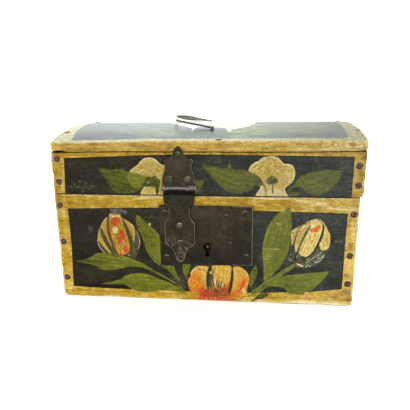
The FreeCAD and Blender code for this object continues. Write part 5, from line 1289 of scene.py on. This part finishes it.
board("case_front_board", "case", "front_board", (-HALF_W, HALF_W, -87, -78, 6, RIM), (FX, FY, FZ), 3,
      front_paint(CASE_PANEL),
      lambda p, q: np.maximum(sstep(p[:, 1], -80.5, -79.0), sstep(p[:, 2], 110.2, 110.8) * sstep(p[:, 1], -86.3, -85.0)),
      cuts=[(-31, 38, -92, -70, 45, 96), (-25.6, -18.4, -92, -79.4, 94.5, 116)],
      skip=(4,), seam=lambda q: np.minimum(np.abs(q[:, 2] - 6.0) + 0.85, 20.0), mat=PAINT, r0=0.55, r1=0.9, wave=0.16,
      chips=[(-149.5, -87, 92, 4.5, 0.4, OUT_L), (-149.5, -87, 55, 5, 0.45, OUT_L), (-149.5, -87, 30, 4, 0.4, OUT_L),
             (149.5, -87, 88, 5, 0.45, OUT_R), (149.5, -87, 42, 6, 0.4, OUT_R), (149.5, -87, 14, 5, 0.6, OUT_R), (149.5, -87, 66, 3.5, 0.35, OUT_R),
             (-112, -87, 111, 5, 0.3, (0, 0.5, -1))])
board("case_back_board", "case", "back_board", (-HALF_W, HALF_W, 78, 87, 6, RIM), (1.2, 1.6, 1.1), 5,
      face_paint(0, BACK_PANEL, BACK_NAILS),
      lambda p, q: np.maximum(sstep(-p[:, 1], -80.5, -79.0), sstep(p[:, 2], 110.2, 110.8) * sstep(-p[:, 1], -86.3, -85.0)),
      skip=(4,), seam=lambda q: np.minimum(np.abs(q[:, 2] - 6.0) + 0.35, 20.0), mat=PAINT, fine=3, r1=1.2, wave=0.25,
      chips=[(-149.5, 87, 80, 5, 0.7, (1, -0.6, 0)), (149.5, 87, 36, 5, 0.7, (-1, -0.6, 0)), (40, 87, 111, 6, 0.6, (0, -0.5, -1))])
for side, x0, x1, seed in ((-1, -149.5, -139.5, 7), (1, 139.5, 149.5, 9)):
    board("case_left_end" if side < 0 else "case_right_end", "case", "left_end_board" if side < 0 else "right_end_board",
          (x0, x1, -IN_Y, IN_Y, 6, RIM), (1.6, 0.85, 0.85), seed, face_paint(1, END_PANEL, flip=side, **END_ART),
          lambda p, q, s=side: np.maximum(sstep(-s * p[:, 0], -141.8, -140.2), sstep(p[:, 2], 110.2, 110.8) * sstep(-s * p[:, 0], -148.8, -147.5)),
          skip=(2, 3, 4),
          seam=lambda q: np.minimum(np.minimum(np.abs(q[:, 2] - 6.0), np.abs(np.abs(q[:, 1]) - IN_Y)) + 0.3, 20.0), mat=PAINT,
          fine=0 if side < 0 else 1, wave=0.12)


def bottom_paint(p):
    f = art(p[:, 0], p[:, 2], CASE_PANEL, NO_NAILS, **{k: v for k, v in FRONT_ART.items() if k != "nails"})
    off = p[:, 1] > -80.0
    for k, v in BLANK.items():
        f[k] = np.where(off, v, f[k])
    f["dim"] = np.where(off, 0.15, lid_shade_and_dark_patches(p[:, 0], p[:, 2]))
    f["pan"] = np.where(off, 20.0, f["pan"])
    return f


board("case_bottom_board", "case", "bottom_board", (-HALF_W, HALF_W, -87, 87, 0, 6), (0.8, 1.8, 0.8), 11, bottom_paint,
      lambda p, q: np.maximum(sstep(-p[:, 2], -0.9, -0.3), sstep(p[:, 2], 5.3, 5.8) * sstep(-np.abs(p[:, 1]), -85.5, -84.0)),
      r0=0.5, r1=1.1, skip=(5,), seam=lambda q: np.minimum(np.abs(q[:, 2] - 6.0) + 0.85, 20.0), mat=PAINT, fine=4, wave=0.2,
      chips=[(149.5, -87, 0, 7, 1.0, (-1, 0.5, 0.8)), (-149.5, -87, 0, 5, 0.7, (1, 0.5, 0.8)), (62, -87, 0, 10, 0.5, (0, 0.5, 1)), (-96, -87, 0, 13, 0.5, (0, 0.5, 1)),
             (118, -87, 0, 8, 0.6, (0, 0.5, 1)), (-30, -87, 0, 9, 0.4, (0, 0.5, 1)), (-149.5, 87, 0, 5, 0.8, (1, -0.5, 0.8)), (149.5, 60, 0, 6, 0.7, (-1, 0, 0.8))])

# lid: rails and ends end in the arc under the top board
def tilt(x):
    """The joint under the top board runs down to the left."""
    return np.interp(x, (-149.0, -80.0, 60.0, 110.0, 152.0), (-0.9, 0.0, 0.0, 0.3, 1.1))


def rise(y0, y1, top, lean=0.0):
    def warp(c):
        c = c.copy()
        k = (c[:, 2] - LID_Z0) / (top - LID_Z0)
        c[:, 2] = LID_Z0 + k * (arc_z(np.clip(c[:, 1], y0, y1)) - LID_Z0)
        c[:, 2] += lean * tilt(c[:, 0]) * sstep(k, 0.8, 1.0) * sstep(-c[:, 1], 72.0, 86.0)
        return c

    def unwarp(c):
        c = c.copy()
        c[:, 2] = LID_Z0 + (c[:, 2] - LID_Z0) * (top - LID_Z0) / (arc_z(np.clip(c[:, 1], y0, y1)) - LID_Z0)
        return c
    return warp, unwarp


def lid_seam(top):
    """Painted shade and grime under the top board and along the mouth of the lid."""
    def f(q):
        return np.minimum(np.minimum(np.abs(q[:, 2] - top) + 0.4, np.abs(q[:, 2] - LID_Z0) + 0.3), 20.0)
    return f


w, uw = rise(-87, -78, LID_EDGE, 1.0)
board("lid_front", "lid", "lid_front_rail", (LID_X0, LID_X1, -87, -78, LID_Z0, LID_EDGE), (FX, FY, FZ), 13, front_paint(LID_PANEL),
      lambda p, q: np.maximum(sstep(p[:, 1], -80.5, -79.0), sstep(-p[:, 2], -112.2, -111.6) * sstep(p[:, 1], -86.3, -85.0)),
      warp=w, unwarp=uw, skip=(4, 5), seam=lid_seam(LID_EDGE), mat=PAINT, r1=0.9, wave=0.16,
      chips=[(-149.2, -87, 130, 4.5, 0.6, OUT_L), (152.4, -87, 126, 4, 0.4, OUT_R),
             (152.4, -87, 112, 5, 0.6, (-1, 0.4, 0.6)), (-143, -87, 154, 10, 1.3, (0, 1, -0.5))])
w, uw = rise(78, 87, LID_EDGE)
board("lid_back", "lid", "lid_back_rail", (LID_X0, LID_X1, 78, 87, LID_Z0, LID_EDGE), (1.2, 1.6, 1.1), 15,
      face_paint(0, LID_BACK_PANEL, BACK_NAILS),
      lambda p, q: np.maximum(sstep(-p[:, 1], -80.5, -79.0), sstep(-p[:, 2], -112.2, -111.6) * sstep(-p[:, 1], -86.3, -85.0)),
      warp=w, unwarp=uw, skip=(4, 5), seam=lid_seam(LID_EDGE), mat=PAINT, fine=3, r1=1.2, wave=0.25,
      chips=[(-149.2, 87, 122, 5, 0.7, (1, -0.6, 0)), (152.4, 87, 136, 5, 0.7, (-1, -0.6, 0))])
w, uw = rise(-78, 78, 163.0)
for side, x0, x1, seed in ((-1, -149.2, -139.2, 17), (1, 142.4, 152.4, 19)):
    xo = x0 if side < 0 else x1
    board("lid_left" if side < 0 else "lid_right", "lid", "lid_left_end" if side < 0 else "lid_right_end",
          (x0, x1, -IN_Y, IN_Y, LID_Z0, 163.0), (1.6, 0.85, 0.85), seed, face_paint(1, LID_END_PANEL, flip=side, **LID_END_ART),
          lambda p, q, xo=xo, s=side: np.maximum(sstep(s * (xo - p[:, 0]), 7.7, 9.3), sstep(-p[:, 2], -112.2, -111.6) * sstep(s * (xo - p[:, 0]), 0.7, 2.0)),
          warp=w, unwarp=uw, skip=(2, 3, 4, 5),
          seam=lambda q: np.minimum(lid_seam(163.0)(q), np.abs(np.abs(q[:, 1]) - IN_Y) + 0.3), mat=PAINT,
          fine=0 if side < 0 else 1, wave=0.12)


def top_warp(c):
    c = c.copy()
    zu, zt = arc_z(c[:, 1]), arc_z(c[:, 1], T_TOP)
    k = c[:, 2] / T_TOP
    z = zu + (zt - zu) * k + (1 - k) * tilt(c[:, 0]) * sstep(-c[:, 1], 72.0, 86.0)
    # the front edge droops at the left end
    c[:, 2] = z - 1.6 * k * sstep(-c[:, 0], 30.0, 125.0) * sstep(-c[:, 1], 50.0, 86.0)
    return c


def top_unwarp(c):
    c = c.copy()
    y = np.clip(c[:, 1], -87, 87)
    zu, zt = arc_z(y), arc_z(y, T_TOP)
    c[:, 2] = (c[:, 2] - zu) / (zt - zu) * T_TOP
    return c


board("lid_top", "lid", "lid_top_board", (LID_X0, TOP_X1, -87, 87, 0, T_TOP), (0.9, 0.9, 0.8), 21, top_paint,
      lambda p, q: sstep(-q[:, 2], -1.2, -0.2) * sstep(-np.abs(p[:, 1]), -84.5, -82.0) * sstep(-np.abs(p[:, 0] - 1.6), -147.0, -145.0),
      r0=0.8, r1=1.1, warp=top_warp, unwarp=top_unwarp, skip=(4,),
      seam=lambda q: np.minimum(np.abs(q[:, 2]) + 0.4, 20.0), mat=TOP_COAT, fine=5, wave=0.2,
      chips=[(-144, -87, 0, 11, 1.8, (0, 1, 0.55)), (153.4, -87, 0, 6, 0.6, (-0.8, 0.4, 0.7)), (153.4, -87, 10, 6, 0.6, (-1, 0.5, -0.5)),
             (-149.2, -87, 10, 5, 0.5, (1, 0.5, -0.5)), (-149.2, 30, 10, 6, 0.6, (1, 0, -0.6)), (153.4, -20, 10, 7, 0.6, (-1, 0, -0.6)), (60, 87, 10, 7, 0.6, (0, -0.5, -1))])


# --------------------------------------------------------------- forged iron
def forged(node, voxel, seed, mat, amp=0.16, size=4.0, relax=4, head=None, crease=None, plain=None,
           mute=None, widen=None, slim=(), rough=(0.08, 0.18), fillet=None):
    """Hand forged copy of an iron node: even mesh, softened edges, hammer and
    rust unevenness.  head = rough outline of nail heads about their centres."""
    src = N[node]
    bm = bmesh.new()
    bm.from_mesh(src.data)
    bmesh.ops.remove_doubles(bm, verts=bm.verts, dist=2e-6)
    me = bpy.data.meshes.new(node + "_shape")
    bm.to_mesh(me)
    bm.free()
    ob = bpy.data.objects.new(node + "_forged", me)
    SCN.collection.objects.link(ob)
    m = ob.modifiers.new("even", "REMESH")
    m.mode, m.voxel_size, m.adaptivity = "VOXEL", voxel * MM, 0.0
    m.use_smooth_shade = True
    dg = bpy.context.evaluated_depsgraph_get()
    fin = bpy.data.meshes.new_from_object(ob.evaluated_get(dg))
    ob.modifiers.clear()
    ob.data = fin
    bpy.data.meshes.remove(me)
    fin.materials.clear()
    fin.materials.append(mat)
    n = len(fin.vertices)
    ed = np.zeros(len(fin.edges) * 2, np.int32)
    fin.edges.foreach_get("vertices", ed)
    ed = ed.reshape(-1, 2)
    deg = np.bincount(ed.ravel(), minlength=n)[:, None].astype(float)

    def mean(a):
        s = np.zeros_like(a)
        np.add.at(s, ed[:, 0], a[ed[:, 1]])
        np.add.at(s, ed[:, 1], a[ed[:, 0]])
        return s / np.maximum(deg, 1)

    p = coords(ob)
    p0 = p.copy()
    for _ in range(relax):
        p = p + 0.55 * (mean(p) - p)
        p = p - 0.57 * (mean(p) - p) * 0.6
    lo, hi = p0.min(0), p0.max(0)
    fin.vertices.foreach_set("co", (p * MM).astype(np.float32).ravel())
    fin.update()
    nr = np.zeros(n * 3, np.float32)
    fin.vertices.foreach_get("normal", nr)
    nr = nr.reshape(-1, 3).astype(float)
    lap = p - mean(p)
    cur = (lap * nr).sum(1, keepdims=True)
    for _ in range(3):
        cur = 0.5 * cur + 0.5 * mean(cur)
    cur = np.clip(cur[:, 0] / (0.10 * voxel), -1, 1)
    dent = amp * (0.5 + 0.5 * fbm(p, size, seed, 3)) + 0.25 * amp * (0.5 + 0.5 * vnoise(p, 1.1, seed + 3))
    p = p - nr * dent[:, None]
    if head:
        for c, r, seed_k in head:
            c = np.array(c, float)
            d = p - c
            i = np.nonzero((np.abs(d) < r + 1.2).all(1))[0]
            ax = np.argmax(np.abs(np.array(head_axis[node])))
            uv = [k for k in range(3) if k != ax]
            ang = np.arctan2(d[i, uv[1]], d[i, uv[0]])
            rng = np.random.default_rng(seed_k)
            a0, k4, k3 = rng.uniform(0, 6.28), rng.uniform(*rough), rng.uniform(0.03, 0.11)
            s = (0.94 if c[0] > 0 else 0.98) + k4 * np.cos(4 * (ang - a0)) + k3 * np.cos(3 * ang + a0) + 0.05 * np.cos(ang - 2 * a0)
            for q in uv:
                p[i, q] = c[q] + d[i, q] * s
    if crease:
        # groove pressed in from the front across the whole width, painted dark as shade through a lowered curvature
        z0, half, depth = crease
        w = np.clip(1 - ((p[:, 2] - z0) / half) ** 2, 0, 1) * (nr[:, 1] < 0.2)
        p[:, 1] += depth * w
        cur = np.where(w > 0.05, cur - 2.6 * w, cur)
    if plain:
        on = (p[:, 2] > plain[0]) & (p[:, 2] < plain[1])
        cur = np.where(on, np.maximum(cur, 0.0), cur)
    if fillet:
        # metal drawn out to the barrel
        z0, z1, depth = fillet
        p[:, 1] -= depth * np.clip((z1 - p[:, 2]) / (z1 - z0), 0, 1) ** 2 * (p[:, 2] > z0) * (nr[:, 1] < -0.2)
    if mute:
        cur = np.where(mute(p), np.minimum(cur, 0.12), cur)
    if widen:
        x0, z0, z1, k = widen
        p[:, 0] = x0 + (p[:, 0] - x0) * (1 + (k - 1) * sstep(p[:, 2], z0, z0 + 3.0) * sstep(-p[:, 2], -z1, 1.0 - z1))
    for c, r, k in slim:
        c = np.array(c, float)
        w = 1 - sstep(np.linalg.norm(p - c, axis=1), 0.6 * r, r)
        for q in (0, 2):
            p[:, q] = c[q] + (p[:, q] - c[q]) * (1 - (1 - k) * w)
    p = np.clip(p, lo, hi)
    fin.vertices.foreach_set("co", (p * MM).astype(np.float32).ravel())
    fin.update()
    # curvature and how far each point faces up; the iron materials paint highlights and shade from them
    put(ob, {"curv": cur, "up": nr[:, 2]})
    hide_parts(node)
    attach(ob, src["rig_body"])
    return ob


head_axis = {}


def nail_heads(pts, axis, seed):
    return [(c, 3.6, seed + k) for k, c in enumerate(pts)]


head_axis["front_corner_nails"] = (0, 1, 0)
head_axis["lid_front_nails"] = (0, 1, 0)
head_axis["lid_top_nails"] = (0, 0, 1)
FN = [(x, -87.0, z) for x, z in FRONT_NAILS]
forged("front_corner_nails", 0.34, 31, NAIL, 0.18, 1.6, 3, nail_heads(FN[:6], 1, 100))
forged("lid_front_nails", 0.34, 32, NAIL, 0.18, 1.6, 3, nail_heads(FN[6:], 1, 120))
forged("lid_top_nails", 0.34, 33, WORN, 0.18, 1.6, 3,
       nail_heads([(x, y, float(arc_z(y, T_TOP))) for x, y in TOP_NAILS], 2, 140))
forged("back_corner_nails", 0.4, 34, NAIL, 0.15, 1.6, 3)
forged("lid_back_nails", 0.4, 35, NAIL, 0.15, 1.6, 3)
forged("bottom_nails", 0.4, 36, NAIL, 0.12, 1.6, 3)
forged("lock_plate", 0.42, 41, PLATE, 0.16, 7.0, mute=lambda p: p[:, 0] < 30.0)
forged("lock_plate_nails", 0.34, 42, STUD, 0.18, 1.6, 3)
forged("lock_rivets", 0.30, 43, STUD, 0.12, 1.6, 3)
forged("hasp_hinge_plate", 0.36, 44, HINGE, 0.15, 5.0, plain=(118.6, 126.0), mute=lambda p: (p[:, 2] > 125.0) & (p[:, 0] < -10.0), fillet=(121.0, 124.5, 1.6))
forged("hasp_plate_nails", 0.34, 45, RIVET, 0.16, 1.6, 3)
forged("hasp_strap", 0.36, 46, STRAP, 0.15, 5.0, crease=(114.4, 2.0, 0.9), plain=(118.6, 124.0), mute=lambda p: (p[:, 2] > 100.0) & (p[:, 2] < 116.0), widen=(-22.0, 100.5, 116.4, 1.085))
forged("hasp_staple", 0.32, 47, RIVET, 0.12, 1.6, 3)
forged("left_hinge_strap", 0.42, 48, IRON, 0.15, 5.0)
forged("right_hinge_strap", 0.42, 49, IRON, 0.15, 5.0)
forged("left_hinge_staple", 0.36, 50, IRON, 0.12, 3.0)
forged("right_hinge_staple", 0.36, 51, IRON, 0.12, 3.0)
forged("hinge_strap_nails", 0.36, 52, IRON, 0.14, 1.6, 3)
forged("handle_eye_front", 0.26, 53, IRON, 0.08, 1.6, 3)
forged("handle_eye_back", 0.26, 54, BAIL, 0.08, 1.6, 3, slim=[((-3.7, 50.0, 172.3), 5.0, 0.62)])
forged("bail_handle", 0.28, 55, BAIL, 0.10, 3.0, 3, slim=[((-3.7, 50.0, 172.3), 5.0, 0.55)])
for node in ("lock_case", "key_pin", "bolt_guides", "bolt_spring", "lock_bolt", "hasp_hinge_pin"):
    N[node].data.materials.clear()
    N[node].data.materials.append(PIN if node == "key_pin" else LOCK)

# --------------------------------------------------------------- floor, light, camera
bm = bmesh.new()
bmesh.ops.create_grid(bm, x_segments=24, y_segments=24, size=5.0)
for v in bm.verts:
    v.co.z = -0.0003
fm = bpy.data.meshes.new("studio_floor")
bm.to_mesh(fm)
bm.free()
floor = bpy.data.objects.new("studio_floor", fm)
SCN.collection.objects.link(floor)
g = Graph("pale_floor")
pale = g.ramp(g.noise(g.p, 400.0, 2, 0.5), [(0.3, (0.90, 0.90, 0.90, 1)), (0.7, (0.94, 0.94, 0.935, 1))])
g.shade(pale, 0.9, None, 0.0, 0.0)
g.bsdf.inputs["Emission Color"].default_value = (1.0, 1.0, 1.0, 1.0)
g.bsdf.inputs["Emission Strength"].default_value = 0.30
floor.data.materials.append(g.mat)

# soft room: brighter above and behind, dim on the viewer's side
world = bpy.data.worlds.new("studio")
world.use_nodes = True
wt = world.node_tree
wt.nodes.clear()


def wnode(kind, **k):
    n = wt.nodes.new(kind)
    for a, v in k.items():
        setattr(n, a, v)
    return n


def wmath(op, a, b):
    n = wnode("ShaderNodeMath", operation=op)
    for s_, v in zip(n.inputs, (a, b)):
        if isinstance(v, bpy.types.NodeSocket):
            wt.links.new(v, s_)
        else:
            s_.default_value = v
    return n.outputs[0]


def wstep(v, a, b, lo, hi):
    n = wnode("ShaderNodeMapRange", interpolation_type="SMOOTHSTEP")
    wt.links.new(v, n.inputs["Value"])
    for k, q in (("From Min", a), ("From Max", b), ("To Min", lo), ("To Max", hi)):
        n.inputs[k].default_value = q
    return n.outputs[0]


wc = wnode("ShaderNodeTexCoord")
ws = wnode("ShaderNodeSeparateXYZ")
wt.links.new(wc.outputs["Generated"], ws.inputs[0])
wx, wy, wz = ws.outputs
back = wstep(wy, 0.0, 0.75, 0.0, 1.0)
glow = wmath("MULTIPLY", wstep(wz, 0.02, 0.14, 0.0, 1.0), wstep(wz, 0.58, 0.82, 1.0, 0.0))
glow = wmath("MULTIPLY", glow, wstep(wz, 0.14, 0.50, 1.0, 1.7))
room = wmath("ADD", wstep(wz, 0.0, 0.8, 0.62, 0.80), wmath("MULTIPLY", back, 0.5))
room = wmath("ADD", room, wmath("MULTIPLY", wmath("MULTIPLY", back, glow), wstep(wx, -0.03, 0.10, 3.0, 0.85)))
wb = wnode("ShaderNodeBackground")
tint = wnode("ShaderNodeMix", data_type="RGBA")
wt.links.new(wstep(wx, -0.4, 0.4, 0.0, 1.0), tint.inputs[0])
tint.inputs[6].default_value = (0.90, 1.0, 1.0, 1.0)
tint.inputs[7].default_value = (0.97, 1.0, 0.94, 1.0)
wt.links.new(tint.outputs[2], wb.inputs[0])
wt.links.new(room, wb.inputs[1])
wo = wnode("ShaderNodeOutputWorld")
wt.links.new(wb.outputs[0], wo.inputs[0])
SCN.world = world


def area(name, loc, look, size, watts):
    d = bpy.data.lights.new(name, "AREA")
    d.shape, d.size, d.size_y, d.energy = "RECTANGLE", size[0], size[1], watts
    o = bpy.data.objects.new(name, d)
    o.location = loc
    o.rotation_mode = "QUATERNION"
    o.rotation_quaternion = (Vector(look) - Vector(loc)).to_track_quat("-Z", "Y")
    SCN.collection.objects.link(o)
    return o


area("key", (0.75, -0.95, 1.25), (0, -0.05, 0.09), (0.8, 0.8), 9.0)
area("fill", (-0.35, -1.5, 0.35), (0, -0.087, 0.06), (1.6, 0.5), 5.0)

YAW, PITCH, ROLL = math.radians(-6.526), math.radians(15.265), math.radians(-0.809)
fwd = Vector((math.sin(YAW) * math.cos(PITCH), math.cos(YAW) * math.cos(PITCH), -math.sin(PITCH)))
right = Vector((math.cos(YAW), -math.sin(YAW), 0.0))
up = right.cross(fwd)
r2 = math.cos(ROLL) * right + math.sin(ROLL) * up
u2 = -math.sin(ROLL) * right + math.cos(ROLL) * up
cam = bpy.data.cameras.new("camera")
cam.sensor_width, cam.lens = 36.0, 39.136
cam.clip_start, cam.clip_end = 0.01, 50.0
camera = bpy.data.objects.new("camera", cam)
SCN.collection.objects.link(camera)
M = Matrix.Identity(4)
for k, a in enumerate((r2, u2, -fwd)):
    for j in range(3):
        M[j][k] = a[j]
M.translation = Vector((50.74, -502.86, 216.52)) * MM
camera.matrix_world = M
SCN.camera = camera
SCN.view_settings.view_transform = "Standard"
SCN.view_settings.look = "None"
